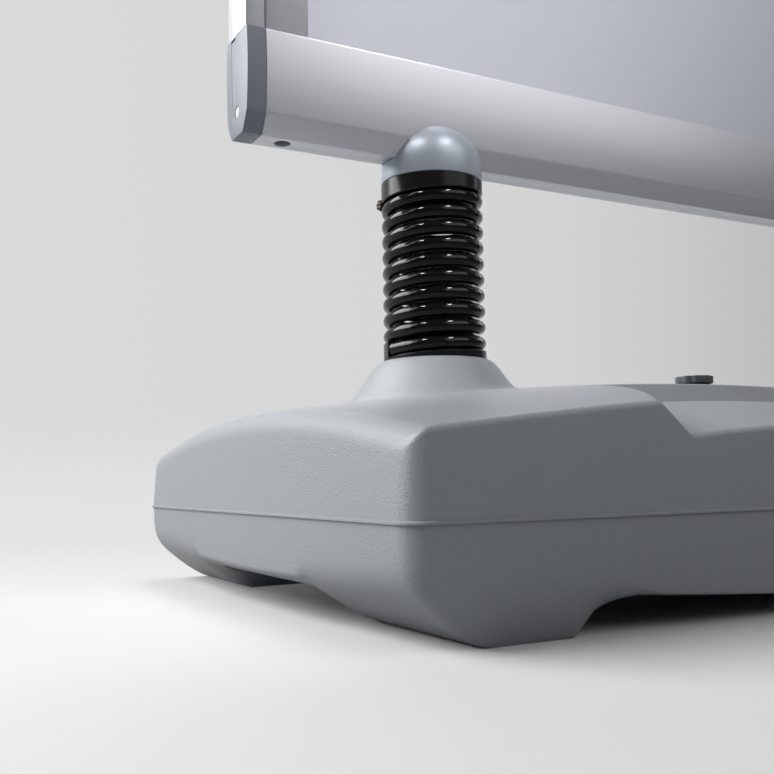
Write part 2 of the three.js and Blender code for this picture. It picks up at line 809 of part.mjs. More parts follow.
// Saddle cup: a domed block cut to sit under the rail and climb its faces
function saddleCup(x) {
  const shoulder = cupBottom + cupSkirt;
  const dome = Array.from({ length: cupDomeSteps + 1 }, (_, step) => {
    const angle = (step / cupDomeSteps) * (Math.PI / 2);
    return [springRadius * Math.cos(angle), shoulder + cupDomeHeight * Math.sin(angle)];
  });
  dome[cupDomeSteps][0] = 0;
  const whole = turned([[0, cupBottom], [springRadius, cupBottom], ...dome], x, 0);
  const seat = railSection(railBottom - gap, railTop, gap);
  return cut(toSolid(whole), [
    alongX(shapeOf(seat), x - springRadius - overrun, x + springRadius + overrun),
    rod(railBoltRadius + holeClearance, cupBottom - overrun, railBottom + overrun, x, 0),
  ]);
}

// Bolts, washers and clamp plates

function baseBolt(x) {
  const washerBottom = wellTop - gap - baseWasherThickness;
  const headTop = washerBottom - gap;
  return joined([
    rod(baseBoltHeadRadius, headTop - baseBoltHeadHeight, headTop, x, 0, hexSides),
    rod(baseBoltRadius, headTop - baseBoltHeadHeight / 2, ringPlugTop, x, 0),
  ]);
}

function baseWasher(x) {
  const top = wellTop - gap;
  const hole = baseBoltRadius + holeClearance;
  return flatRing(hole, baseWasherRadius, top - baseWasherThickness, top, x, 0, smallSides);
}

function railBolt(x) {
  const seat = railBottom + railFloor + gap + clampPlateThickness + gap;
  const headTop = seat + railBoltHeadHeight;
  const bolt = joined([
    rod(railBoltHeadRadius, seat, headTop, x, 0),
    rod(railBoltRadius, collarPlugBottom, seat + railBoltHeadHeight / 2, x, 0),
  ]);
  return cut(bolt, [rod(railBoltKeyRadius, headTop - railBoltKeyDepth, headTop + overrun, x, 0, hexSides)]);
}

function railClampPlate(x) {
  const bottom = railBottom + railFloor + gap;
  const top = bottom + clampPlateThickness;
  const plate = block([x - clampPlateLength / 2, -clampPlateWidth / 2, bottom],
    [x + clampPlateLength / 2, clampPlateWidth / 2, top]);
  const hole = rod(railBoltRadius + holeClearance, bottom - overrun, top + overrun, x, 0);
  return cut(toSolid(plate), [hole]);
}

// The three sides of the frame. Across runs inwards from the outer face, along runs down its length.

const axisX = new THREE.Vector3(1, 0, 0);
const axisY = new THREE.Vector3(0, 1, 0);
const axisZ = new THREE.Vector3(0, 0, 1);

const frameSides = {
  left: {
    corner: new THREE.Vector3(-halfWidth, 0, 0),
    across: axisX,
    along: axisZ,
    from: () => frameBottom,
    to: (across) => frameTop - across - mitreGap,
  },
  right: {
    corner: new THREE.Vector3(halfWidth, 0, 0),
    across: axisX.clone().negate(),
    along: axisZ,
    from: () => frameBottom,
    to: (across) => frameTop - across - mitreGap,
  },
  top: {
    corner: new THREE.Vector3(0, 0, frameTop),
    across: axisZ.clone().negate(),
    along: axisX,
    from: (across) => across + mitreGap - halfWidth,
    to: (across) => halfWidth - across - mitreGap,
  },
};

// A section in across and depth, drawn out between two ends that may slope with across
function alongSide(side, face, shape, from, to) {
  const geometry = new THREE.ExtrudeGeometry(shape, { depth: 1, bevelEnabled: false });
  const points = geometry.attributes.position;
  for (let index = 0; index < points.count; index++) {
    const end = points.getZ(index) > 0 ? to : from;
    points.setZ(index, end(points.getX(index)));
  }
  const outwards = axisY.clone().multiplyScalar(face);
  const basis = new THREE.Matrix4().makeBasis(side.across, outwards, side.along).setPosition(side.corner);
  return geometry.applyMatrix4(basis);
}

// The fixed extrusion's section: both faces alike, the tube's bore as a hole
function postSection() {
  const half = frameDepth / 2;
  const ledgeTop = hingeDepth - beadRadius - gap;
  const ledgeBottom = ledgeTop - ledgeThickness;
  const hookTop = half - extrusionWall - gap;
  const hookInner = hingeAcross + beadRadius + gap;
  const hookOuter = hookInner + hookThickness;
  const shelfEnd = frameFace - extrusionWall;
  const face = [[0, half], [lipWidth, half], [lipWidth, ledgeTop], [hookInner, ledgeTop],
    [hookInner, hookTop], [hookOuter, hookTop], [hookOuter, ledgeBottom],
    [lipWidth, ledgeBottom], [lipWidth, shelfOuter],
    [shelfEnd, shelfOuter], [shelfEnd, shelfInner], [lipWidth, shelfInner]];
  const outline = [...face, ...face.map(([across, depth]) => [across, -depth]).reverse()];
  const bore = [[extrusionWall, extrusionWall - half], [lipWidth - extrusionWall, extrusionWall - half],
    [lipWidth - extrusionWall, half - extrusionWall], [extrusionWall, half - extrusionWall]];
  return shapeOf(outline, [bore]);
}

// A snap flap's section: a plate with a hinge bead on one edge and a turned-in lip on the other
function flapSection() {
  const half = frameDepth / 2;
  const plateInner = half - extrusionWall;
  const meeting = Math.asin((plateInner - hingeDepth) / beadRadius);
  const sweep = 1.5 * Math.PI + meeting;
  const bead = Array.from({ length: beadSteps + 1 }, (_, step) => {
    const angle = Math.PI / 2 + (sweep * step) / beadSteps;
    return [hingeAcross + beadRadius * Math.cos(angle), hingeDepth + beadRadius * Math.sin(angle)];
  });
  const lipInner = frameFace - extrusionWall;
  const lip = [[lipInner, plateInner], [lipInner, flapLipEnd], [frameFace, flapLipEnd], [frameFace, half]];
  return shapeOf([...bead, ...lip]);
}

// One hollow extrusion along a side of the frame
function sidePost(side) {
  return alongSide(side, 1, postSection(), side.from, side.to);
}

// The mitred ends stop short at the hinge, so that a flap swings clear of its neighbour
function snapFlap(side, face) {
  const mitreStart = hingeAcross + beadRadius + gap;
  const mitred = (end) => (across) => end(Math.max(across, mitreStart));
  const from = side === frameSides.top ? mitred(side.from) : () => frameBottom + flapFootClearance;
  return alongSide(side, face, flapSection(), from, mitred(side.to));
}

// A bent strip that stands on a shelf and presses up under a flap
function leafSpring(side, face, middle) {
  const foot = shelfOuter + gap;
  const head = frameDepth / 2 - extrusionWall - gap;
  const start = lipWidth + gap;
  const bend = start + leafFoot;
  const crest = bend + leafRise;
  const end = crest + leafReach;
  const section = shapeOf([[start, foot], [bend, foot], [crest, head - leafThickness],
    [end, head - leafThickness], [end, head], [crest - leafThickness, head],
    [bend - leafThickness, foot + leafThickness],
    [start, foot + leafThickness]]);
  return alongSide(side, face, section, () => middle - leafLength / 2, () => middle + leafLength / 2);
}

// An L drawn in the frame's plane: one leg along Z, one along X
function cornerBracket(sideX, atTop) {
  const inset = extrusionWall + gap;
  const thickness = tubeBore - 2 * gap;
  const half = frameDepth / 2 - extrusionWall - gap;
  const outer = inset + thickness;
  const legEnd = atTop ? bracketLeg : -bracketLeg;
  const inner = atTop ? outer : inset;
  const heel = atTop ? inset : outer;
  const shape = shapeOf([[inset, heel], [bracketLeg, heel], [bracketLeg, inner], [outer, inner],
    [outer, legEnd], [inset, legEnd]]);
  const geometry = new THREE.ExtrudeGeometry(shape, { depth: 2 * half, bevelEnabled: false });
  const basis = new THREE.Matrix4().makeBasis(
    axisX.clone().multiplyScalar(-sideX), axisZ.clone().negate(), axisY,
  );
  return geometry.applyMatrix4(basis).translate(sideX * halfWidth, -half, atTop ? frameTop : railTop);
}

// Layers between the frame's faces

function layer(halfAcross, top, inner, outer) {
  return block([-halfAcross, inner, frameBottom], [halfAcross, outer, top]);
}

// Assembly

addPiece('base_tank', baseTank(), grey);
addPiece('filler_cap', fillerCap(), darkGrey);
addPiece('filler_cap_seal', capSeal(), rubber);

const leftAndRight = { left: -1, right: 1 };
for (const [name, side] of Object.entries(leftAndRight)) {
  const x = side * springX;
  const turn = side > 0 ? Math.PI : 0;
  const spring = coilSpring(x);
  console.log(`coil_spring_${name}: least gap to itself ${leastGap(spring).toFixed(2)} mm, on its points`);
  addPiece(`coil_spring_${name}`, spring, gloss);
  addPiece(`spring_ring_${name}`, springRing(x), gloss);
  addPiece(`spring_collar_${name}`, springCollar(x), gloss);
  addPiece(`saddle_cup_${name}`, saddleCup(x), aluminium);
  addPiece(`base_bolt_${name}`, baseBolt(x), steel);
  addPiece(`base_washer_${name}`, baseWasher(x), steel);
  addPiece(`rail_bolt_${name}`, railBolt(x), steel);
  addPiece(`rail_clamp_plate_${name}`, railClampPlate(x), steel);
  addPiece(`rail_end_cap_${name}`, railEndCap(), capGrey, turn);
  addPiece(`rail_cap_screw_${name}`, railCapScrew(), steel, turn);
  addPiece(`side_post_${name}`, sidePost(frameSides[name]), aluminium);
  addPiece(`corner_bracket_top_${name}`, cornerBracket(side, true), aluminium);
  addPiece(`corner_bracket_bottom_${name}`, cornerBracket(side, false), aluminium);
}
addPiece('bottom_rail', bottomRail(), aluminium);
addPiece('top_rail', sidePost(frameSides.top), aluminium);

const panelHalf = halfWidth - lipWidth - gap;
const panelTop = frameTop - lipWidth - gap;
addPiece('backing_panel', layer(panelHalf, panelTop, -panelThickness / 2, panelThickness / 2), board);

const leafMiddles = {
  left: { low: frameBottom + leafEndInset, high: frameTop - leafEndInset },
  right: { low: frameBottom + leafEndInset, high: frameTop - leafEndInset },
  top: { left: leafEndInset - halfWidth, right: halfWidth - leafEndInset },
};
const frontAndBack = { front: -1, back: 1 };
for (const [faceName, face] of Object.entries(frontAndBack)) {
  const facing = face < 0 ? Math.PI : 0;
  const posterTop = frameTop - posterEdge;
  const poster = layer(posterWidth / 2, posterTop, posterInner, posterInner + posterThickness);
  const cover = layer(posterWidth / 2, posterTop, coverInner, coverInner + coverThickness);
  addPiece(`poster_${faceName}`, poster.rotateZ(facing), paper);
  addPiece(`clear_cover_${faceName}`, cover.rotateZ(facing), clear);
  for (const [sideName, side] of Object.entries(frameSides)) {
    addPiece(`snap_flap_${faceName}_${sideName}`, snapFlap(side, face), aluminium);
    for (const [place, middle] of Object.entries(leafMiddles[sideName])) {
      addPiece(`leaf_spring_${faceName}_${sideName}_${place}`, leafSpring(side, face, middle), steel);
    }
  }
}

export default sign;
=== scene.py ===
"""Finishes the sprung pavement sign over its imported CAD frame, with its stage and camera."""

import json
import math
from contextlib import contextmanager

import bmesh
import bpy
from bpy.props import FloatProperty, FloatVectorProperty, PointerProperty
from bpy.types import Operator, Panel, PropertyGroup
from mathutils import Matrix, Vector


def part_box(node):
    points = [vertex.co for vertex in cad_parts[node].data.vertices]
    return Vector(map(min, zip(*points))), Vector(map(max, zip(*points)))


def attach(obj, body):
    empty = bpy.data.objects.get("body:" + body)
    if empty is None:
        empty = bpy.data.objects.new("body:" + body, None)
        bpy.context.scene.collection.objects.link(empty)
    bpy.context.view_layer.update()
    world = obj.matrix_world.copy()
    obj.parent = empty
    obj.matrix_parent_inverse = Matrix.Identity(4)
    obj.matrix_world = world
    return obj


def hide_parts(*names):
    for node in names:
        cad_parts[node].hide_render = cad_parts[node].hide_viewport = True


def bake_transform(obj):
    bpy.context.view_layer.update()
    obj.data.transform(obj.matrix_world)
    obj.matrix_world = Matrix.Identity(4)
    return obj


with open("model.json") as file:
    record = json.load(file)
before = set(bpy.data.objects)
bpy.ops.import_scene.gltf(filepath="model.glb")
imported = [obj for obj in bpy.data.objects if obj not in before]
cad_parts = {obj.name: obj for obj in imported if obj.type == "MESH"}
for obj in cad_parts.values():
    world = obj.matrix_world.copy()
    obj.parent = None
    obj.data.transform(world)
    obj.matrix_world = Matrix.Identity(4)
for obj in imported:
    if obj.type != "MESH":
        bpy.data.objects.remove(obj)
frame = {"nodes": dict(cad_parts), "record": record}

bl_info = {
    "name": "Sprung pavement sign",
    "version": (1, 0, 0),
    "blender": (4, 5, 0),
    "location": "View3D > Sidebar > Pavement sign",
    "description": "Builds the pieces, looks and stage of a sprung pavement sign",
    "category": "Object",
}

MM = 0.001
RECORD = frame["record"]
BODY_OF = {node: body for body, nodes in RECORD["behaviour"]["bodies"].items() for node in nodes}
SLOT_OF = {part["node"]: part["material_slot"] for part in RECORD["subparts"]}
SIDES = {"left": -1, "right": 1}

# The turn that a straight end of the wire covers, and the turn between its face and the seat's step
WIRE_END_ANGLE = math.radians(17.6)
STEP_CLEARANCE = math.radians(4.4)
GAP = 0.3 * MM


# Sizes read off the CAD nodes

def box_of(node):
    """The low and the high corner of a CAD node."""
    return tuple(Vector(corner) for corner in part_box(node))


TANK_HIGH = box_of("base_tank")[1]
HALF_LENGTH = TANK_HIGH.x
HALF_DEPTH = TANK_HIGH.y
BOSS_TOP = TANK_HIGH.z
RING_LOW, RING_HIGH = box_of("spring_ring_right")
SPRING_X = (RING_LOW.x + RING_HIGH.x) / 2
RING_RADIUS = RING_HIGH.x - SPRING_X
SPRING_LOW, SPRING_HIGH = box_of("coil_spring_right")
COLLAR_LOW, COLLAR_HIGH = box_of("spring_collar_right")
CUP_LOW = box_of("saddle_cup_right")[0]
RAIL_LOW, RAIL_HIGH = box_of("bottom_rail")
END_LOW, END_HIGH = box_of("rail_end_cap_left")
CAP_LOW, CAP_HIGH = box_of("filler_cap")
CAP_CENTRE = (CAP_LOW + CAP_HIGH) / 2
SEAL_LOW, SEAL_HIGH = box_of("filler_cap_seal")


# Settings

class TankSettings(PropertyGroup):
    """Sizes and colour of the base tank."""
    corner_radius: FloatProperty(name="Corner radius", description="Radius of the tank's upright corners",
                                 default=11 * MM, unit="LENGTH")
    end_fillet: FloatProperty(name="End fillet", description="Rounding of the top edge at the ends",
                              default=13 * MM, unit="LENGTH")
    face_fillet: FloatProperty(name="Face fillet", description="Rounding of the top edge at front and back",
                               default=3.2 * MM, unit="LENGTH")
    seam_height: FloatProperty(name="Seam height",
                               description="How far the mould's parting seam stands proud",
                               default=1.1 * MM, unit="LENGTH")
    colour: FloatVectorProperty(name="Colour", description="Colour of the moulded plastic", subtype="COLOR",
                                default=(0.272, 0.290, 0.308), size=3)
    grain: FloatProperty(name="Grain", description="Size of the moulded grain", default=0.85 * MM,
                         unit="LENGTH")


class SpringSettings(PropertyGroup):
    """Sizes and colour of the coil springs."""
    wire: FloatProperty(name="Wire", description="Diameter of the spring wire", default=8.4 * MM,
                        unit="LENGTH")
    turns: FloatProperty(name="Turns", description="Number of turns", default=9.75)
    pitch: FloatProperty(name="Pitch", description="Rise of one turn", default=9.6 * MM, unit="LENGTH")
    foot_angle: FloatProperty(name="Foot angle", description="Where the lower end of the wire lies",
                              default=math.radians(180), subtype="ANGLE")
    colour: FloatVectorProperty(name="Colour", description="Colour of the coating", subtype="COLOR",
                                default=(0.004, 0.004, 0.0045), size=3)


class FrameSettings(PropertyGroup):
    """Edges and colours of the extrusions and the end caps."""
    edge: FloatProperty(name="Edge", description="Rounding of the extrusions' edges", default=0.35 * MM,
                        unit="LENGTH")
    colour: FloatVectorProperty(name="Aluminium", description="Colour of the anodised extrusions",
                                subtype="COLOR", default=(0.66, 0.665, 0.70), size=3)
    cap_colour: FloatVectorProperty(name="End cap", description="Colour of the rail's end caps",
                                    subtype="COLOR", default=(0.195, 0.217, 0.249), size=3)
    sheet_colour: FloatVectorProperty(name="Poster", description="Colour of the plain poster sheets",
                                      subtype="COLOR", default=(0.80, 0.815, 0.89), size=3)


class StageSettings(PropertyGroup):
    """Camera, lamps and backdrop."""
    focal_length: FloatProperty(name="Focal length", description="Lens on a 36 mm wide sensor",
                                default=44.43, subtype="DISTANCE_CAMERA")
    camera_place: FloatVectorProperty(name="Camera place", description="Where the camera stands",
                                      default=(-0.49604, -0.48418, 0.06624), size=3, subtype="TRANSLATION")
    yaw: FloatProperty(name="Yaw", description="Turn of the camera from the back direction",
                       default=math.radians(28.51), subtype="ANGLE")
    pitch: FloatProperty(name="Pitch", description="Tilt of the camera above level",
                         default=math.radians(5.42), subtype="ANGLE")
    roll: FloatProperty(name="Roll", description="Roll of the camera", default=math.radians(0.96),
                        subtype="ANGLE")
    key_power: FloatProperty(name="Key lamp", description="Power of the soft box at the back left",
                             default=82, unit="POWER")
    top_power: FloatProperty(name="Top lamp", description="Power of the soft box high at the back",
                             default=18, unit="POWER")
    front_power: FloatProperty(name="Front lamp", description="Power of the soft box in front", default=23,
                               unit="POWER")
    edge_power: FloatProperty(name="Edge lamp", description="Power of the soft box that glints on the edges",
                              default=2.5, unit="POWER")
    spark_power: FloatProperty(name="Spark lamps", default=0.09, unit="POWER",
                               description="Power of each small lamp that glints in the coils")
    backdrop: FloatVectorProperty(name="Backdrop", description="Colour of the floor", subtype="COLOR",
                                  default=(0.64, 0.64, 0.636), size=3)


# Making and shaping meshes

def only(piece):
    """Selects one object alone and makes it active."""
    bpy.ops.object.select_all(action="DESELECT")
    piece.select_set(True)
    bpy.context.view_layer.objects.active = piece


@contextmanager
def editing(piece, kind="FACE"):
    """Edit mode on one object, with everything selected."""
    only(piece)
    bpy.ops.object.mode_set(mode="EDIT")
    bpy.ops.mesh.select_mode(type=kind)
    bpy.ops.mesh.select_all(action="SELECT")
    try:
        yield piece
    finally:
        bpy.ops.object.mode_set(mode="OBJECT")


def pick(piece, kind, test):
    """Selects the faces, edges or verts that pass the test, in edit mode."""
    bpy.ops.mesh.select_all(action="DESELECT")
    mesh = bmesh.from_edit_mesh(piece.data)
    chosen = [element for element in getattr(mesh, kind) if test(element)]
    if not chosen:
        raise RuntimeError(f"no {kind} of {piece.name} pass the test")
    for element in chosen:
        element.select_set(True)
    bmesh.update_edit_mesh(piece.data)


def from_points(name, points, edges=(), faces=()):
    """A mesh object from points in metres."""
    mesh = bpy.data.meshes.new(name)
    mesh.from_pydata([tuple(point) for point in points], list(edges), list(faces))
    piece = bpy.data.objects.new(name, mesh)
    bpy.context.collection.objects.link(piece)
    return piece


def added(operator, name, **values):
    """Adds a primitive and applies its place, turn and scale."""
    bpy.ops.object.select_all(action="DESELECT")
    operator(**values)
    piece = bpy.context.object
    piece.name = name
    bpy.ops.object.transform_apply(location=True, rotation=True, scale=True)
    return piece


def extrude(offset):
    """Extrudes what is selected, in edit mode."""
    bpy.ops.mesh.extrude_region_move(TRANSFORM_OT_translate={"value": offset})


def outwards(piece, merge=1e-6):
    """Merges doubled points and turns every face outwards."""
    with editing(piece, "VERT"):
        bpy.ops.mesh.remove_doubles(threshold=merge)
        bpy.ops.mesh.normals_make_consistent(inside=False)


def turned(name, profile, centre=(0, 0), steps=96):
    """A profile of radii and heights in millimetres, spun about an upright axis and closed."""
    points = [(centre[0] + radius * MM, centre[1], height * MM) for radius, height in profile]
    closed = profile[0][0] > 0 and profile[-1][0] > 0
    edges = [(step, step + 1) for step in range(len(points) - 1)]
    if closed:
        edges.append((len(points) - 1, 0))
    piece = from_points(name, points, edges)
    with editing(piece, "VERT"):
        bpy.ops.mesh.spin(steps=steps, angle=2 * math.pi, center=(*centre, 0), axis=(0, 0, 1))
    outwards(piece)
    return piece


def drawn(name, outline, start, end):
    """An outline of depths and heights in metres, drawn out along X."""
    piece = from_points(name, [(start, y, z) for y, z in outline], faces=[range(len(outline))])
    with editing(piece):
        extrude((end - start, 0, 0))
    outwards(piece)
    return piece


def rod(name, radius, bottom, top, centre, sides=64):
    """An upright cylinder."""
    return added(bpy.ops.mesh.primitive_cylinder_add, name, vertices=sides, radius=radius, depth=top - bottom,
                 location=(*centre, (bottom + top) / 2))


def block(name, low, high):
    """A box between two corners."""
    low, high = Vector(low), Vector(high)
    return added(bpy.ops.mesh.primitive_cube_add, name, size=1, location=(low + high) / 2, scale=high - low)


def apply_modifier(piece, kind, **values):
    """Adds a modifier, sets its values and applies it."""
    modifier = piece.modifiers.new(kind.title(), kind)
    for key, value in values.items():
        setattr(modifier, key, value)
    only(piece)
    bpy.ops.object.modifier_apply(modifier=modifier.name)


def combine(piece, other, operation="DIFFERENCE"):
    """Cuts another solid out of a piece, or adds it, and deletes the other."""
    before = len(piece.data.vertices)
    apply_modifier(piece, "BOOLEAN", object=other, operation=operation, solver="MANIFOLD")
    if len(piece.data.vertices) == before:
        raise RuntimeError(f"{other.name} didn't change {piece.name}")
    bpy.data.objects.remove(other)


def soften(piece, width, segments=2, angle=30):
    """Rounds the sharp edges and smooths the shading between them."""
    apply_modifier(piece, "BEVEL", width=width, segments=segments, limit_method="ANGLE",
                   angle_limit=math.radians(angle), use_clamp_overlap=True)
    smooth(piece, angle)


def smooth(piece, angle=30):
    """Smooths the shading over edges flatter than the angle."""
    only(piece)
    bpy.ops.object.shade_smooth_by_angle(angle=math.radians(angle))


def paint(piece, look):
    """Gives a piece one material."""
    piece.data.materials.clear()
    piece.data.materials.append(look)


def laid(piece, x, height):
    """Lays an upright piece along X, at a place on the rail's middle plane."""
    piece.data.transform(Matrix.Translation((x, 0, height)) @ Matrix.Rotation(math.pi / 2, 4, "Y"))
    return piece


def done(piece, name, look, *nodes, body=None, slot=None):
    """Names a finished piece, gives it its look and its body, and hides the CAD nodes it stands for."""
    only(piece)
    bpy.ops.object.transform_apply(location=True, rotation=True, scale=True)
    piece.name = name
    piece.data.name = name
    paint(piece, look)
    if nodes:
        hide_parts(*nodes)
    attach(piece, body or BODY_OF[nodes[0]])
    return piece


def copied(piece, name, matrix):
    """A copy of a piece, moved by a matrix."""
    copy = piece.copy()
    copy.data = piece.data.copy()
    copy.name = name
    bpy.context.collection.objects.link(copy)
    copy.data.transform(matrix)
    return copy


def finer_copy(node, name, look, edge):
    """A merged copy of a CAD node with rounded edges, in the node's place."""
    source = frame["nodes"][node]
    piece = bpy.data.objects.new(name, source.data.copy())
    bpy.context.collection.objects.link(piece)
    piece.data.transform(source.matrix_world)
    with editing(piece, "VERT"):
        bpy.ops.mesh.remove_doubles(threshold=1e-6)
        bpy.ops.mesh.dissolve_limited(angle_limit=math.radians(0.6))
    soften(piece, edge)
    return done(piece, name, look, node)


# Shader maths

class Wire:
    """A socket or a number in a material, with arithmetic that adds Math nodes."""

    def __init__(self, shader, socket):
        self.shader = shader
        self.socket = socket

    def _math(self, operation, *values):
        """The result of a new Math node."""
        return self.shader.node("ShaderNodeMath", {"operation": operation}, dict(enumerate(values)))[0]

    def __add__(self, other):
        return self._math("ADD", self, other)

    def __radd__(self, other):
        return self._math("ADD", other, self)

    def __sub__(self, other):
        return self._math("SUBTRACT", self, other)

    def __rsub__(self, other):
        return self._math("SUBTRACT", other, self)

    def __mul__(self, other):
        return self._math("MULTIPLY", self, other)

    def __rmul__(self, other):
        return self._math("MULTIPLY", other, self)


class Shader:
    """A material's node tree, built by expressions."""

    def __init__(self, tree):
        self.tree = tree
        tree.nodes.clear()

    def node(self, kind, settings=None, inputs=None):
        """Adds a node, sets its settings and then its inputs, and returns its outputs as wires."""
        made = self.tree.nodes.new(kind)
        for key, value in (settings or {}).items():
            if key == "stops":
                self._set_stops(made.color_ramp, value)
            else:
                setattr(made, key, value)
        for key, value in (inputs or {}).items():
            if isinstance(value, Wire):
                self.tree.links.new(value.socket, made.inputs[key])
            else:
                made.inputs[key].default_value = value
        return [Wire(self, socket) for socket in made.outputs]

    @staticmethod
    def _set_stops(ramp, stops):
        """Gives a colour ramp its stops."""
        while len(ramp.elements) < len(stops):
            ramp.elements.new(0.5)
        for element, (place, colour) in zip(ramp.elements, stops):
            element.position = place
            element.color = colour

    def place(self):
        """Object coordinates."""
        return self.node("ShaderNodeTexCoord")[3]

    def smooth_range(self, value, low, high, kind="SMOOTHSTEP"):
        """0 below low and 1 above high, with a smooth step between."""
        return self.node("ShaderNodeMapRange", {"interpolation_type": kind},
                         {"Value": value, "From Min": low, "From Max": high})[0]

    def along(self, place, direction):
        """How far a place lies along a direction."""
        return self.node("ShaderNodeVectorMath", {"operation": "DOT_PRODUCT"}, {0: place, 1: direction})[1]

    def noise(self, scale, detail=2.0, rough=0.5, stretch=(1, 1, 1)):
        """A noise value from 0 to 1 over the object, with its axes scaled by stretch."""
        place = self.node("ShaderNodeMapping", {"vector_type": "POINT"},
                          {"Vector": self.place(), "Scale": stretch})[0]
        return self.node("ShaderNodeTexNoise", None,
                         {"Vector": place, "Scale": scale, "Detail": detail, "Roughness": rough})[0]

    def mix(self, factor, low, high):
        """A colour between two colours."""
        made = self.tree.nodes.new("ShaderNodeMix")
        made.data_type = "RGBA"
        for socket, value in ((made.inputs[0], factor), (made.inputs[6], low), (made.inputs[7], high)):
            if isinstance(value, Wire):
                self.tree.links.new(value.socket, socket)
            else:
                socket.default_value = value if isinstance(value, (int, float)) else (*value[:3], 1)
        return Wire(self, made.outputs[2])

    def largest(self, first, *others):
        """The largest of several values."""
        for other in others:
            first = self.node("ShaderNodeMath", {"operation": "MAXIMUM"}, {0: first, 1: other})[0]
        return first

    def blend(self, factor, first, second):
        """A shader between two shaders."""
        return self.node("ShaderNodeMixShader", None, {0: factor, 1: first, 2: second})[0]

    def bump(self, height, strength, distance):
        """A normal from a height."""
        return self.node("ShaderNodeBump", None,
                         {"Height": height, "Strength": strength, "Distance": distance})[0]

    def surface(self, **inputs):
        """The Principled shader on the material's output."""
        names = {key.replace("_", " ").title().replace("Ior", "IOR"): value for key, value in inputs.items()}
        shader = self.node("ShaderNodeBsdfPrincipled", None, names)[0]
        self.node("ShaderNodeOutputMaterial", None, {"Surface": shader})


def shades(colour, spread):
    """A darker and a lighter shade of a colour."""
    return tuple(c * (1 - spread) for c in colour), tuple(min(1, c * (1 + spread)) for c in colour)


def new_look(name):
    """A new material and the shader that builds its nodes."""
    material = bpy.data.materials.new(name)
    material.use_nodes = True
    return material, Shader(material.node_tree)


def grained(name, tones, fine, rough, relief, broad=None, share=1, **more):
    """A material whose roughness and relief follow a fine noise, and its colour a broad one as well."""
    material, shader = new_look(name)
    fine = shader.noise(*fine)
    tone = shader.noise(*broad) * (1 - share) + fine * share if broad else fine
    swing, level = rough
    strength, height = relief
    shader.surface(base_color=shader.mix(tone, *tones), roughness=(fine - 0.5) * swing + level,
                   normal=shader.bump(fine, strength, height * MM), **more)
    return material


def moulded(name, colour, grain, rough=0.40, depth=0.35, spread=0.12):
    """Moulded plastic with a fine grain and faint mottling."""
    material, shader = new_look(name)
    peel = shader.noise(1 / grain, 3.0, 0.55)
    cloud = shader.noise(9, 4.0, 0.6)
    shader.surface(
        base_color=shader.mix(cloud * 0.4 + peel * 0.6, *shades(colour, spread)),
        roughness=(cloud - 0.5) * 0.08 + (peel - 0.5) * 0.10 + rough,
        normal=shader.bump(peel, 0.8, depth * MM),
    )
    return material


def coated(name, colour, rough):
    """A gloss coating on steel, slightly uneven, with dust in places."""
    material, shader = new_look(name)
    waves = shader.noise(160)
    dust = shader.noise(900, 2.0, 0.7)
    shader.surface(
        base_color=shader.mix(waves, *shades(colour, 0.3)),
        roughness=(dust - 0.5) * 0.04 + rough,
        ior=1.36,
        normal=shader.bump(waves, 0.10, 0.10 * MM),
    )
    return material


def drawn_metal(name, colour, along, rough=0.38):
    """Satin metal with fine lines along its length."""
    stretch = tuple(0.012 if axis == along else 1 for axis in "xyz")
    return grained(name, shades(colour, 0.045), (1500, 2.0, 0.6, stretch), (0.12, rough), (0.18, 0.03),
                   broad=(120, 3.0, 0.5, stretch), share=0.5, metallic=0.62)


def turned_metal(name, colour, rough):
    """Machined metal with rings round its upright axis."""
    return grained(name, shades(colour, 0.06), (2600, 1.0, 0.5, (0.01, 0.01, 1)), (0.12, rough), (0.12, 0.02),
                   broad=(60, 3.0, 0.5), share=0, metallic=0.35)


def plated(name, colour, rough=0.36):
    """Zinc-plated steel, faintly blotched."""
    return grained(name, shades(colour, 0.12), (260, 4.0, 0.6), (0.2, rough), (0.15, 0.04), metallic=0.95)


def printed_sheet(name, colour):
    """A plain matt sheet with faint upright streaks."""
    return grained(name, shades(colour, 0.03), (2500, 2.0, 0.6), (0.1, 0.42), (0.1, 0.02),
                   broad=(420, 2.0, 0.6, (1, 1, 0.01)), share=0.2, metallic=0.5)


def rubber(name):
    """Black rubber, dull and faintly dusty."""
    tones = (0.012, 0.012, 0.012), (0.035, 0.035, 0.034)
    return grained(name, tones, (900, 3.0, 0.6), (0.1, 0.8), (0.2, 0.05))


def clear_film(name):
    """A clear plastic cover with an anti-glare face."""
    material, shader = new_look(name)
    haze = shader.noise(1800)
    shader.surface(
        base_color=shader.mix(haze, (0.80, 0.82, 0.86), (0.86, 0.88, 0.92)),
        roughness=(haze - 0.5) * 0.08 + 0.22,
        alpha=(haze - 0.5) * 0.03 + 0.12,
    )
    return material


# Base tank

# Heights and slopes of the tank in millimetres, as in the part's source
PARTING = 49.3
RIDGE = (82.6, 23, 17.6)
DECK = (61.2, 30.5, 21.2)
CREASE = (28, -21.5, -7.6)
UNDERSIDE = 16.4
SPINE_EDGE = 56
SPINE_SLOPE = 8
POCKET = 148
POCKET_FLARE = 51.5
POCKET_SLOPE = 17.5
DRAFT = 1.5
UNDER_INSET = 12
BOSS_EDGE = 34.3
BOSS_FALL = 1.465
FOOT_OUTER = 38.8
FOOT_INNER = 85
FOOT_FRONT = 10.2
FOOT_BACK = 102
FOOT_EASE = 9
LEG_REACH = (108, 62)
ARCH_RUN = 46
ARCH_LEAD = 3
ARCH_EASE = (18, 12)
# How gently the top's faces meet: the ramps as shares of their run, the boss in millimetres
RAMP_BLEND = (0.09, 0.12)
BOSS_SHOULDER = 4.6
BOSS_BLEND = 6
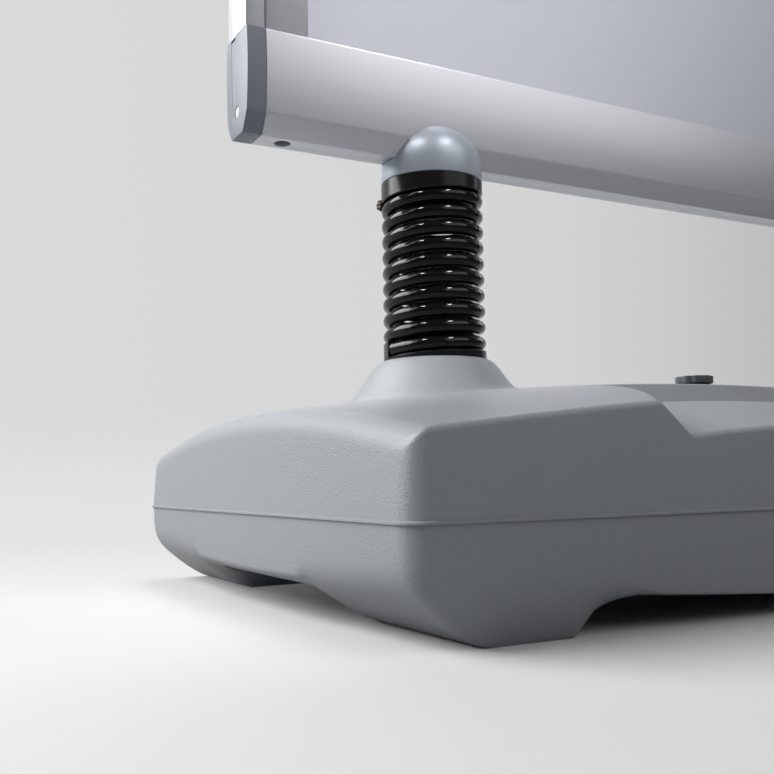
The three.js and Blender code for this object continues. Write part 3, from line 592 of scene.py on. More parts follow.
# The roots of the parting seam, inside the widest outline and above and below the parting line
SEAM_INSET = 0.03
SEAM_HALF = 0.8
# The crease's rounding between the feet and over them, and how the slope below it curves
CREASE_ROUND = (2.4, 9)
UNDER_CURVE = 1.35
# Where the grid's spacing changes along X and along Y, and where its columns draw near to the ends
GRID_CHANGE = (118, 66)
GRID_END = 256
# Where the columns start to follow the humps' flare, and where they start to leave it
FLARE_SPAN = (60, 158)


def ease(t):
    """A smooth step from 0 to 1."""
    t = min(1, max(0, t))
    return t * t * (3 - 2 * t)


def rise(t, width):
    """What a distance is past zero, with its start rounded."""
    if t <= -width:
        return 0
    return (t + width) ** 2 / (4 * width) if t < width else t


def ramp(t, width):
    """A slope from 0 to 1, rounded where it starts and ends."""
    return rise(t, width) - rise(t - 1, width)


def smooth_max(a, b, width):
    """The greater of two heights, blended where they meet."""
    share = min(1, max(0, 0.5 + 0.5 * (a - b) / width))
    return a * share + b * (1 - share) + width * share * (1 - share)


def lerp(a, b, share):
    """The number that lies a share of the way from a to b."""
    return a + (b - a) * share


class TankForm:
    """The tank's surfaces in millimetres."""

    def __init__(self, settings):
        self.long = HALF_LENGTH / MM
        self.deep = HALF_DEPTH / MM
        self.corner = settings.corner_radius / MM
        self.end_fillet = settings.end_fillet / MM
        self.face_fillet = settings.face_fillet / MM
        self.seam = settings.seam_height / MM
        self.spring = SPRING_X / MM
        self.boss_top = BOSS_TOP / MM
        self.columns = self._columns()
        self.rows = self._rows()

    def crown(self, x, y, sizes):
        """Height of a face that rises or falls from the corners towards the middle."""
        corner, long_rise, cross_rise = sizes
        return corner + long_rise * (1 - (x / self.long) ** 2) + cross_rise * (1 - (y / self.deep) ** 2)

    def flare(self, y):
        """How much further apart the humps stand at the front and back than beside the spine."""
        return POCKET_FLARE * (max(0, abs(y) - SPINE_EDGE) / (self.deep - SPINE_EDGE)) ** 2

    def top(self, x, y):
        """Height of the top: the humps, the lowered decks and the bosses under the springs."""
        along = ramp((POCKET + self.flare(y) - abs(x)) / POCKET_SLOPE, RAMP_BLEND[0])
        across = ramp((abs(y) - SPINE_EDGE) / SPINE_SLOPE, RAMP_BLEND[1])
        land = lerp(self.crown(x, y, RIDGE), self.crown(x, y, DECK), along * across)
        radius = math.hypot(abs(x) - self.spring, y)
        boss = self.boss_top - BOSS_FALL * rise(radius - BOSS_EDGE, BOSS_SHOULDER)
        return smooth_max(land, boss, BOSS_BLEND)

    def foot_share(self, x, y):
        """1 over a foot and along its arches' feet, 0 between the feet."""
        inner = self.long - FOOT_INNER
        back = self.deep - FOOT_BACK
        return ease((abs(x) - inner + ARCH_RUN) / ARCH_RUN), ease((abs(y) - back + FOOT_EASE) / FOOT_EASE)

    def bottom(self, x, y):
        """Height of the underside, with arches that come down to the feet."""
        start = self.long - FOOT_INNER - abs(x)
        ease_x, ease_y = ARCH_EASE
        arch = min(1, max(0, (start + ARCH_LEAD) / (ARCH_RUN + ARCH_LEAD)))
        rise_x = math.sqrt(1 - (1 - arch) ** 2) * ease((start + ease_x / 2) / ease_x)
        rise_y = ease((self.deep - FOOT_BACK + ARCH_LEAD - abs(y)) / ease_y)
        return UNDERSIDE * (1 - (1 - rise_x) * (1 - rise_y))

    def under_place(self, x, y):
        """Where a point of the underside's plan lies once the feet's outer faces slope inwards."""
        share_x, share_y = self.foot_share(x, y)
        start_x = self.long - LEG_REACH[0]
        end_x = self.long - DRAFT - UNDER_INSET
        start_y = self.deep - LEG_REACH[1]
        end_y = self.deep - DRAFT - UNDER_INSET
        inwards = (FOOT_OUTER - DRAFT - UNDER_INSET) * share_y * ease((abs(x) - start_x) / (end_x - start_x))
        forwards = (DRAFT + UNDER_INSET - FOOT_FRONT) * share_x * ease((abs(y) - start_y) / (end_y - start_y))
        return x - math.copysign(inwards, x), y + math.copysign(forwards, y)

    def _columns(self):
        """Places along X, with the turn round the upright corner at the ends."""
        straight = self.long - self.corner
        change = GRID_CHANGE[0]
        places = spread((0, change, 20), (change, GRID_END, 66), (GRID_END, straight, 11))
        half = [(x, 0.0) for x in places] + [(straight, (step + 1) / 8 * math.pi / 2) for step in range(8)]
        return [(-x, turn) for x, turn in reversed(half[1:])] + half

    def _rows(self):
        """Places along Y as shares of the half depth."""
        change = GRID_CHANGE[1]
        half = spread((0, change, 32), (change, self.deep, 27))
        return [-y / self.deep for y in reversed(half[1:])] + [y / self.deep for y in half]

    def plan(self, column, row, face_inset, end_inset):
        """The plan place of a grid point, on an outline that lies inside the tank's by the insets."""
        x, turn = self.columns[column]
        share = self.rows[row]
        side = -1 if x < 0 else 1
        round_x = max(self.corner - end_inset, 1.5)
        round_y = max(self.corner - face_inset, 1.5)
        corner_x = self.long - end_inset - round_x
        y = share * (self.deep - face_inset - round_y + round_y * math.cos(turn))
        if turn:
            return side * (corner_x + round_x * math.sin(turn)), y
        if abs(x) > GRID_END:
            share_x = (abs(x) - GRID_END) / (self.long - self.corner - GRID_END)
            return side * lerp(GRID_END, corner_x, share_x), y
        follow, leave = FLARE_SPAN
        weight = ease((abs(x) - follow) / (GRID_CHANGE[0] - follow))
        weight *= 1 - ease((abs(x) - leave) / (GRID_END - leave))
        return x + side * weight * self.flare(share * self.deep), y

    def endness(self, column, row):
        """1 on the tank's ends, 0 on its front and back, between on the corners."""
        if row in (0, len(self.rows) - 1):
            return math.sin(self.columns[column][1]) ** 2
        return 1


def spread(*spans):
    """Evenly placed numbers over spans of from, to and count, the shared ends given once."""
    places = [spans[0][0]]
    for low, high, count in spans:
        places += [lerp(low, high, (step + 1) / count) for step in range(count)]
    return places


def tank_profile(form, column, row):
    """The points down the tank's side at one place of its rim, from the top grid to the underside."""
    endness = form.endness(column, row)
    fillet = lerp(form.face_fillet, form.end_fillet, endness)
    inset = DRAFT + form.face_fillet, DRAFT + form.end_fillet
    top = form.top(*form.plan(column, row, *inset))
    points = []
    for step in range(1, 9):
        angle = step / 8 * math.pi / 2
        share = 1 - math.sin(angle)
        place = form.plan(column, row, DRAFT + form.face_fillet * share, DRAFT + form.end_fillet * share)
        points.append((*place, top - fillet * (1 - math.cos(angle))))

    def wall(inset, height):
        """A point of the side wall."""
        return (*form.plan(column, row, inset, inset), height)

    last = top - fillet
    root = Vector(wall(SEAM_INSET, PARTING - SEAM_HALF))
    points += [wall(DRAFT * (1 - step / 4), lerp(last, PARTING + 0.9, step / 4)) for step in (1, 2, 3)]
    points += [wall(SEAM_INSET, PARTING + SEAM_HALF), wall(-form.seam, PARTING + 0.3),
               wall(-form.seam, PARTING - 0.5), tuple(root)]
    corner = Vector(wall(DRAFT, 0))
    corner.z = form.crown(corner.x, corner.y, CREASE)
    under = form.plan(column, row, DRAFT + UNDER_INSET, DRAFT + UNDER_INSET)
    foot = form.under_place(*under)
    end = Vector((*foot, form.bottom(*foot)))
    share_x, share_y = form.foot_share(*under)
    rounding = lerp(*CREASE_ROUND, share_x * share_y)

    def lower(share):
        """A point of the slope between the crease and the foot."""
        place = corner.lerp(end, share)
        place.z = lerp(corner.z, end.z, 1 - (1 - share) ** UNDER_CURVE)
        return place

    length = (end - corner).length
    start_share = min(0.45, rounding / length)
    above = corner + (root - corner).normalized() * rounding
    below = lower(start_share)
    points.append(tuple(root.lerp(above, 0.5)))
    for step in range(6):
        t = step / 5
        points.append(tuple(above * (1 - t) ** 2 + corner * (2 * t * (1 - t)) + below * t ** 2))
    points += [tuple(lower(lerp(start_share, 1, step / 8))) for step in range(1, 9)]
    return points


def tank_shell(form):
    """The tank's closed outer surface."""
    columns, rows = len(form.columns), len(form.rows)
    points = []
    faces = []
    top_inset = DRAFT + form.face_fillet, DRAFT + form.end_fillet
    under_inset = DRAFT + UNDER_INSET, DRAFT + UNDER_INSET
    knots = [(column, row) for column in range(columns) for row in range(rows)]
    cells = [(column, row) for column, row in knots if column < columns - 1 and row < rows - 1]
    for column, row in knots:
        place = form.plan(column, row, *top_inset)
        points.append((*place, form.top(*place)))
    for column, row in cells:
        first = column * rows + row
        faces.append((first, first + rows, first + rows + 1, first + 1))
    rim = [(column, 0) for column in range(columns)] + [(columns - 1, row) for row in range(1, rows)]
    rim += [(column, rows - 1) for column in range(columns - 2, -1, -1)]
    rim += [(0, row) for row in range(rows - 2, 0, -1)]
    above = [column * rows + row for column, row in rim]
    profiles = [tank_profile(form, column, row) for column, row in rim]
    for level in range(len(profiles[0])):
        start = len(points)
        points += [profile[level] for profile in profiles]
        below = list(range(start, start + len(rim)))
        for step in range(len(rim)):
            after = (step + 1) % len(rim)
            faces.append((above[step], below[step], below[after], above[after]))
        above = below
    last = dict(zip(rim, above))
    grid = {}
    for column, row in knots:
        if (column, row) in last:
            grid[column, row] = last[column, row]
            continue
        place = form.under_place(*form.plan(column, row, *under_inset))
        grid[column, row] = len(points)
        points.append((*place, form.bottom(*place)))
    for column, row in cells:
        faces.append((grid[column, row], grid[column, row + 1],
                      grid[column + 1, row + 1], grid[column + 1, row]))
    return from_points("tank", [Vector(point) * MM for point in points], faces=faces)


class SIGN_OT_tank(Operator):
    """Models the base tank with its bosses, lowered decks and feet"""
    bl_idname = "sign.tank"
    bl_label = "Base tank"

    def execute(self, context):
        settings = context.scene.sign_tank
        shell = tank_shell(TankForm(settings))
        outwards(shell)
        seat = SEAL_LOW.z - GAP
        centre = (CAP_CENTRE.x, CAP_CENTRE.y)
        top = seat / MM
        profile = [(0, top - 7), (15, top - 7), (15, top - 0.9), (14.7, top - 0.25), (14, top), (0, top)]
        combine(shell, turned("seat", profile, centre), "UNION")
        combine(shell, rod("bore", 8.2 * MM, seat - 0.02, seat + 0.02, centre, 48))
        for side in SIDES.values():
            place = (side * SPRING_X, 0)
            combine(shell, rod("well", 13 * MM, -0.01, BOSS_TOP - 30 * MM, place, 48))
            combine(shell, rod("bolt_way", 5.4 * MM, 0.05, BOSS_TOP + 0.01, place, 32))
        smooth(shell, 35)
        look = moulded("tank grain", settings.colour, settings.grain)
        done(shell, "tank_moulding", look, "base_tank")
        return {"FINISHED"}


# Filler cap and its seal

# The knob's scallops, and the insets and depths of the steps in its top, in millimetres
SCALLOPS = 10
SCALLOP_DEPTH = 1.0
CAP_STEPS = ((0.9, 0), (0.5, -0.4), (4.5, 0), (0.4, 0.35))


class SIGN_OT_filler_cap(Operator):
    """Models the scalloped screw cap and the seal under it"""
    bl_idname = "sign.filler_cap"
    bl_label = "Filler cap"

    def execute(self, context):
        centre = Vector((CAP_CENTRE.x, CAP_CENTRE.y, 0))
        knob_bottom = SEAL_HIGH.z + GAP
        top = CAP_HIGH.z
        radius = (CAP_HIGH.y - CAP_LOW.y) / 2
        cap = added(bpy.ops.mesh.primitive_circle_add, "knob", vertices=160, radius=radius, fill_type="NGON",
                    location=(centre.x, centre.y, knob_bottom))
        for vertex in cap.data.vertices:
            offset = Vector((vertex.co.x, vertex.co.y, 0)) - centre
            angle = math.atan2(offset.y, offset.x)
            scallop = abs(math.cos(SCALLOPS / 2 * angle)) ** 3 * SCALLOP_DEPTH * MM
            vertex.co = centre + offset.normalized() * (radius - scallop) + Vector((0, 0, knob_bottom))
        with editing(cap):
            extrude((0, 0, top - knob_bottom))
            pick(cap, "faces", lambda face: face.calc_center_median().z > top - 1e-5)
            for thickness, depth in CAP_STEPS:
                bpy.ops.mesh.inset(thickness=thickness * MM, depth=depth * MM)
        outwards(cap)
        soften(cap, 0.35 * MM, 3, 35)
        plug = rod("plug", 7.8 * MM, CAP_LOW.z, knob_bottom + 1 * MM, (centre.x, centre.y))
        combine(cap, plug, "UNION")
        smooth(cap, 35)
        look = moulded("cap plastic", (0.078, 0.084, 0.090), 0.8 * MM, rough=0.38, depth=0.05)
        done(cap, "screw_cap", look, "filler_cap")
        low, high = SEAL_LOW.z / MM, SEAL_HIGH.z / MM
        seal = turned("seal", [(8.2, low), (10.4, low), (10.8, low + 0.3), (10.8, high - 0.3), (10.4, high),
                               (8.2, high)], (centre.x, centre.y), 72)
        smooth(seal, 40)
        done(seal, "cap_seal_ring", rubber("seal rubber"), "filler_cap_seal")
        return {"FINISHED"}


# Springs with their rings, collars and cups

# Radii of the rings' and collars' plugs, their bores and the seats' bore, in millimetres
PLUG_RADIUS = 17.9
PLUG_CHAMFER = 0.8
RING_BORE = 5.3
COLLAR_BORE = 4.3
SEAT_BORE = 15.5
# Where the weld bead sits round the collar and below its top, and its radius
WELD_ANGLE = math.radians(150)
WELD_DROP = 11.2 * MM
WELD_RADIUS = 2.6 * MM
# The saddle cup's upright skirt and the dome over it
CUP_SKIRT = 9 * MM
CUP_DOME = 26.7 * MM


def coil(settings):
    """One right-handed coil over the left spring's place, with straight ends one diameter long."""
    wire = settings.wire
    radius = RING_RADIUS - wire / 2
    slope = settings.pitch / (2 * math.pi * radius)
    turn = 2 * math.pi * settings.turns
    spring = added(bpy.ops.mesh.primitive_circle_add, "coil", vertices=24, radius=wire / 2,
                   location=(radius, 0, 0), rotation=(math.pi / 2, 0, 0))
    steps = int(settings.turns * 60)
    height = settings.pitch * settings.turns
    apply_modifier(spring, "SCREW", axis="Z", angle=turn, screw_offset=height, iterations=1, steps=steps,
                   render_steps=steps, use_normal_calculate=False, merge_threshold=0)
    onwards = Vector((-math.sin(turn), math.cos(turn), slope)).normalized() * wire
    ends = ((Vector((radius, 0, 0)), Vector((0, -1, -slope)).normalized() * wire),
            (Vector((radius * math.cos(turn), radius * math.sin(turn), height)), onwards))
    for middle, tail in ends:
        with editing(spring, "EDGE"):
            pick(spring, "edges", lambda edge: edge.is_boundary
                 and all((vertex.co - middle).length < wire * 0.55 for vertex in edge.verts))
            extrude(tail)
            bpy.ops.mesh.edge_face_add()
            bpy.ops.mesh.inset(thickness=0.5 * MM, depth=0.25 * MM)
    spring.data.transform(Matrix.Rotation(settings.foot_angle + WIRE_END_ANGLE, 4, "Z"))
    bottom = min(vertex.co.z for vertex in spring.data.vertices)
    spring.data.transform(Matrix.Translation((-SPRING_X, 0, SPRING_LOW.z - bottom)))
    outwards(spring, 1e-7)
    smooth(spring, 40)
    return spring


def wire_seat(name, x, base, upwards, foot_angle, least, pitch):
    """A seat that winds along under an end of the wire, up to the step that the wire's end meets."""
    steps = 120
    start = foot_angle - upwards * STEP_CLEARANCE
    inner, outer = SEAT_BORE * MM, RING_RADIUS
    points = []
    for step in range(steps + 1):
        angle = start + upwards * 2 * math.pi * step / steps
        crest = base + upwards * (least + pitch * (step / steps - STEP_CLEARANCE / (2 * math.pi)))
        rim = crest - upwards * 0.5 * MM
        across, along = math.cos(angle), math.sin(angle)
        section = (outer, base), (outer, rim), (outer - 0.4 * MM, crest), (inner, crest), (inner, base)
        points += [(x + radius * across, radius * along, height) for radius, height in section]
    faces = []
    for first in range(0, steps * 5, 5):
        for corner in range(5):
            here, after = first + corner, first + (corner + 1) % 5
            faces.append((here, after, after + 5, here + 5))
    faces += [(0, 1, 2, 3, 4), tuple(steps * 5 + corner for corner in range(5))]
    seat = from_points(name, points, faces=faces)
    with editing(seat, "VERT"):
        bpy.ops.mesh.normals_make_consistent(inside=False)
    return seat


class SIGN_OT_springs(Operator):
    """Models both coil springs with their steel rings, collars and welds"""
    bl_idname = "sign.springs"
    bl_label = "Coil springs"

    def execute(self, context):
        settings = context.scene.sign_spring
        gloss = coated("spring coating", settings.colour, 0.08)
        satin = coated("ring coating", (0.008, 0.008, 0.009), 0.24)
        scale = plated("weld scale", (0.085, 0.062, 0.046), 0.6)
        left = coil(settings)
        for name, side in SIDES.items():
            spring = copied(left, f"coil_{name}", Matrix.Translation(((side + 1) * SPRING_X, 0, 0)))
            node = f"coil_spring_{name}"
            paint(spring, gloss)
            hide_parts(node)
            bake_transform(spring)
            foot = settings.foot_angle
            head = foot + 2 * WIRE_END_ANGLE + 2 * math.pi * settings.turns
            ring = self.fitting(side, RING_LOW.z, RING_HIGH.z, RING_BORE, foot, SPRING_LOW.z, settings.pitch)
            done(ring, f"lower_ring_{name}", satin, f"spring_ring_{name}")
            collar = self.fitting(side, COLLAR_HIGH.z, COLLAR_LOW.z, COLLAR_BORE, head, SPRING_HIGH.z,
                                  settings.pitch)
            done(collar, f"upper_collar_{name}", satin, f"spring_collar_{name}")
            self.weld(name, side, scale)
        bpy.data.objects.remove(left)
        return {"FINISHED"}

    def fitting(self, side, base, tip, bore, wire_angle, wire_end, pitch):
        """A ring or collar, with its plug inside the coil and a seat that winds along the wire."""
        upwards = 1 if tip > base else -1
        chamfer = tip / MM - upwards * PLUG_CHAMFER
        profile = [(bore, base / MM), (PLUG_RADIUS, base / MM), (PLUG_RADIUS, chamfer),
                   (PLUG_RADIUS - PLUG_CHAMFER, tip / MM), (bore, tip / MM)]
        piece = turned("plug", profile[::upwards], (side * SPRING_X, 0), 120)
        least = abs(wire_end - base) - GAP
        combine(piece, wire_seat("seat", side * SPRING_X, base, upwards, wire_angle, least, pitch), "UNION")
        smooth(piece, 35)
        return piece

    def weld(self, name, side, look):
        """The weld bead at the wire's upper end, on the collar."""
        reach = RING_RADIUS + 0.2 * MM
        middle = Vector((side * SPRING_X + reach * math.cos(WELD_ANGLE), reach * math.sin(WELD_ANGLE),
                         COLLAR_HIGH.z - WELD_DROP))
        bead = added(bpy.ops.mesh.primitive_ico_sphere_add, "bead", subdivisions=4, radius=WELD_RADIUS,
                     location=middle, scale=(1, 1.2, 1.3))
        for vertex in bead.data.vertices:
            offset = vertex.co - middle
            ripple = 1 + 0.10 * math.sin(offset.z / MM * 2.9) + 0.07 * math.sin(offset.x / MM * 3.7 + 1)
            vertex.co = middle + offset * ripple
        smooth(bead, 60)
        done(bead, f"weld_bead_{name}", look, body="sign", slot="ring_steel")


# The crease low on the rail's faces, and half the rail's depth at its bottom, crease and top in millimetres
RAIL_CREASE = RAIL_LOW.z + 10.4 * MM
RAIL_DEPTHS = (7.9, 14.7, 15.2)
# Four times the bulge of the rail's faces below and above the crease, in millimetres
RAIL_BULGES = (1.5, 6.2)


def rail_half_depth(height):
    """Half the depth of the bottom rail at a height, in metres."""
    bottom, middle, top = RAIL_DEPTHS
    low_bulge, high_bulge = RAIL_BULGES
    if height < RAIL_CREASE:
        share = max(0, (height - RAIL_LOW.z) / (RAIL_CREASE - RAIL_LOW.z))
        return (lerp(bottom, middle, share) + low_bulge * share * (1 - share)) * MM
    share = min(1, (height - RAIL_CREASE) / (RAIL_HIGH.z - RAIL_CREASE))
    return (lerp(middle, top, share) + high_bulge * share * (1 - share)) * MM


def rail_outline(bottom, top, grow=0.0, steps=40):
    """Points up the back face of the rail and down its front face, with one on the crease."""
    heights = [bottom]
    if bottom < RAIL_CREASE - 0.001:
        heights = [lerp(bottom, RAIL_CREASE, step / 8) for step in range(8)]
    start = max(RAIL_CREASE, heights[-1])
    heights += [lerp(start, top, step / steps) for step in range(0 if start == RAIL_CREASE else 1, steps + 1)]
    back = [(rail_half_depth(height) + grow, height) for height in heights]
    return back + [(-y, z) for y, z in reversed(back)]


class SIGN_OT_cups(Operator):
    """Models the domed aluminium cups that carry the rail"""
    bl_idname = "sign.cups"
    bl_label = "Saddle cups"

    def execute(self, context):
        look = turned_metal("cup metal", (0.43, 0.47, 0.53), 0.42)
        shoulder = CUP_LOW.z + CUP_SKIRT
        for name, side in SIDES.items():
            x = side * SPRING_X
            cup = added(bpy.ops.mesh.primitive_uv_sphere_add, "cup", segments=128, ring_count=64, radius=1,
                        location=(x, 0, shoulder), scale=(RING_RADIUS, RING_RADIUS, CUP_DOME))
            with editing(cup):
                bpy.ops.mesh.bisect(plane_co=(x, 0, shoulder), plane_no=(0, 0, 1), clear_inner=True,
                                    use_fill=True)
                pick(cup, "faces", lambda face: face.normal.z < -0.99 and len(face.verts) > 8)
                extrude((0, 0, -CUP_SKIRT))
                pick(cup, "faces", lambda face: face.calc_center_median().z < CUP_LOW.z + 1e-5)
                bpy.ops.mesh.bevel(offset=0.8 * MM, segments=3, affect="EDGES")
            outwards(cup)
            seat = drawn("seat", rail_outline(RAIL_LOW.z - GAP, RAIL_HIGH.z + 0.02, GAP),
                         x - 0.05, x + 0.05)
            combine(cup, seat)
            combine(cup, rod("bolt_way", 4.4 * MM, CUP_LOW.z - 0.01, RAIL_LOW.z + 0.01, (x, 0), 32))
            soften(cup, 0.3 * MM, 2, 35)
            done(cup, f"dome_cup_{name}", look, f"saddle_cup_{name}")
        return {"FINISHED"}


# Bottom rail and its end caps

DRAIN_X = 297.3 * MM
# Thickness of the rail's walls, and height and half depth of the tube along its top
RAIL_WALL = 1.6 * MM
TUBE_HEIGHT = 7.8 * MM
TUBE_HALF_DEPTH = 12.4 * MM


class SIGN_OT_rail(Operator):
    """Models the hollow bottom rail with its drain holes"""
    bl_idname = "sign.rail"
    bl_label = "Bottom rail"

    def execute(self, context):
        settings = context.scene.sign_frame
        start, end = RAIL_LOW.x, RAIL_HIGH.x
        rail = drawn("rail", rail_outline(RAIL_LOW.z, RAIL_HIGH.z), start, end)
        tube_top = RAIL_HIGH.z - RAIL_WALL
        tube_bottom = tube_top - TUBE_HEIGHT
        tube = block("tube", (start - 0.01, -TUBE_HALF_DEPTH, tube_bottom),
                     (end + 0.01, TUBE_HALF_DEPTH, tube_top))
        hollow = rail_outline(RAIL_LOW.z + 3 * MM, tube_bottom - RAIL_WALL, -RAIL_WALL, 12)
        chamber = drawn("chamber", hollow, start - 0.01, end + 0.01)
        combine(rail, tube)
        combine(rail, chamber)
        low, high = RAIL_LOW.z - 0.01, RAIL_LOW.z + 0.012
        for side in SIDES.values():
            combine(rail, rod("drain", 4.7 * MM, low, high, (side * DRAIN_X, 0)))
            combine(rail, rod("bolt_way", 4.4 * MM, low, high, (side * SPRING_X, 0), 32))
        soften(rail, settings.edge, 2, 35)
        done(rail, "rail_extrusion", drawn_metal("rail metal", settings.colour, "x", 0.42), "bottom_rail")
        return {"FINISHED"}


# Points down the slit in an end cap's outer face, and round its wedge slot, as depths and heights
SLIT = [(8.6, 312), (8.4, 303), (8.3, 293), (7.9, 283), (6.6, 273), (4.0, 266.5)]
WEDGE = [(-0.6, 274), (1.7, 268), (1.9, 265), (0.4, 264)]


class SIGN_OT_end_caps(Operator):
    """Models the plastic caps on the rail's ends with their slits and screw holes"""
    bl_idname = "sign.end_caps"
    bl_label = "End caps"

    def execute(self, context):
        settings = context.scene.sign_frame
        look = moulded("end cap plastic", settings.cap_colour, 0.7 * MM, 0.46, 0.04, 0.04)
        left, right = END_LOW.x, END_HIGH.x
        cap = drawn("cap", rail_outline(RAIL_LOW.z, RAIL_HIGH.z, 0.4 * MM), left, right)
        inside = drawn("inside", rail_outline(RAIL_LOW.z + 1.6 * MM, RAIL_HIGH.z + 0.01, -1.6 * MM, 14),
                       left + 1.6 * MM, right + 0.01)
        combine(cap, inside)
        height = RAIL_LOW.z + 13.8 * MM
        boss = rod("boss", 4.6 * MM, 0, 4.2 * MM, (0, 0), 48)
        combine(cap, laid(boss, left + 0.8 * MM, height), "UNION")
        soften(cap, 0.35 * MM, 2, 30)
        slit = [(y * MM, z * MM) for y, z in SLIT]
        width = 0.32 * MM
        groove = [(y - width, z) for y, z in slit] + [(y + width, z) for y, z in reversed(slit)]
        combine(cap, drawn("slit", groove, left - 0.005, left + 0.7 * MM))
        combine(cap, drawn("wedge", [(y * MM, z * MM) for y, z in WEDGE], left - 0.005, left + 1.1 * MM))
        combine(cap, block("step", (left - 0.005, 2.5 * MM, RAIL_HIGH.z - 1.6 * MM),
                           (left + 2.2 * MM, 8.2 * MM, RAIL_HIGH.z + 0.01)))
        for radius, depth in ((3.2, 2.4), (1.9, 6)):
            combine(cap, laid(rod("way", radius * MM, -0.01, depth * MM, (0, 0), 40), left, height))
        smooth(cap, 35)
        other = copied(cap, "cap_right", Matrix.Scale(-1, 4, (1, 0, 0)))
        with editing(other):
            bpy.ops.mesh.flip_normals()
        done(cap, "end_cap_left", look, "rail_end_cap_left")
        done(other, "end_cap_right", look, "rail_end_cap_right")
        return {"FINISHED"}


# Extrusions, flaps and the rest of the frame

class SIGN_OT_frame(Operator):
    """Gives the posts, top rail and snap flaps rounded edges and drawn metal"""
    bl_idname = "sign.frame"
    bl_label = "Frame"

    def execute(self, context):
        settings = context.scene.sign_frame
        upright = drawn_metal("upright metal", settings.colour, "z")
        level = drawn_metal("level metal", settings.colour, "x")
        for name in SIDES:
            finer_copy(f"side_post_{name}", f"post_{name}", upright, settings.edge)
        finer_copy("top_rail", "top_extrusion", level, settings.edge)
        for face in ("front", "back"):
            for name in SIDES:
                finer_copy(f"snap_flap_{face}_{name}", f"flap_{face}_{name}", upright, settings.edge)
            finer_copy(f"snap_flap_{face}_top", f"flap_{face}_top", level, settings.edge)
        return {"FINISHED"}


class SIGN_OT_inner_pieces(Operator):
    """Gives the sheets, panel, brackets, bolts and leaf springs their looks"""
    bl_idname = "sign.inner_pieces"
    bl_label = "Inner pieces"

    def execute(self, context):
        settings = context.scene.sign_frame
        looks = {
            "bolt_steel": plated("bolt plating", (0.52, 0.52, 0.50)),
            "bracket_steel": plated("bracket steel", (0.44, 0.45, 0.46), 0.42),
            "leaf_spring_steel": plated("leaf spring steel", (0.40, 0.41, 0.43), 0.32),
            "panel_plastic": moulded("panel plastic", (0.74, 0.74, 0.73), 0.9 * MM, 0.5, 0.03, 0.02),
            "poster_paper": printed_sheet("poster sheet", settings.sheet_colour),
            "clear_cover_plastic": clear_film("clear film"),
        }
        for node, piece in frame["nodes"].items():
            look = looks.get(SLOT_OF[node])
            if look:
                paint(piece, look)
        return {"FINISHED"}


# Stage

# The spark lamps' spread in degrees
SPARK_SPREAD = 20
# The floor's radius in metres, the width of its outer ring, and its colour in the light that it throws back
FLOOR_RADIUS = 6
FLOOR_RING = 4.5
BOUNCE = (0.37, 0.37, 0.37, 1)
# The floor's brightness at the back as a share of the front's, a painted shade, and where it darkens and
# fades, in metres
SHADED_FAR_SHARE = 0.80
PAINTED_SHADE_SPAN = (-0.35, 0.95)
FADE = (0.5, 1.5)
FADE_CENTRE = (0, -0.6, 0)
# Brightness of the backdrop at its stops from right to left, painted shade that darkens its right side, and
# low over the floor
BACKDROP_SIDE = (-0.866, 0.5, 0)
BACKDROP_SHADE_STOPS = [(0.30, 0.47), (0.375, 0.60), (0.43, 0.655), (0.52, 0.675), (0.72, 0.70)]
BACKDROP_LOW = (0.84, 0.84, 0.838)
# The world's light on the sign
GLOW = {"Color": (0.9, 0.94, 1, 1), "Strength": 0.11}


def camera_turn(settings):
    """The camera's axes from its yaw, pitch and roll."""
    yaw, pitch, roll = settings.yaw, settings.pitch, settings.roll
    forward = Vector((math.sin(yaw) * math.cos(pitch), math.cos(yaw) * math.cos(pitch), math.sin(pitch)))
    level = Vector((math.cos(yaw), -math.sin(yaw), 0))
    down = -level.cross(forward)
    right = level * math.cos(roll) + down * math.sin(roll)
    below = down * math.cos(roll) - level * math.sin(roll)
    return Matrix((right, -below, -forward)).transposed()


def soft_box(name, place, target, size, power, spread_angle=180):
    """A rectangular lamp that faces a target, with its light spread over an angle in degrees."""
    lamp = bpy.data.lights.new(name, "AREA")
    lamp.shape = "RECTANGLE"
    lamp.size, lamp.size_y = size
    lamp.energy = power
    lamp.spread = math.radians(spread_angle)
    holder = bpy.data.objects.new(name, lamp)
    bpy.context.collection.objects.link(holder)
    holder.location = place
    holder.rotation_euler = (Vector(target) - Vector(place)).to_track_quat("-Z", "Y").to_euler()


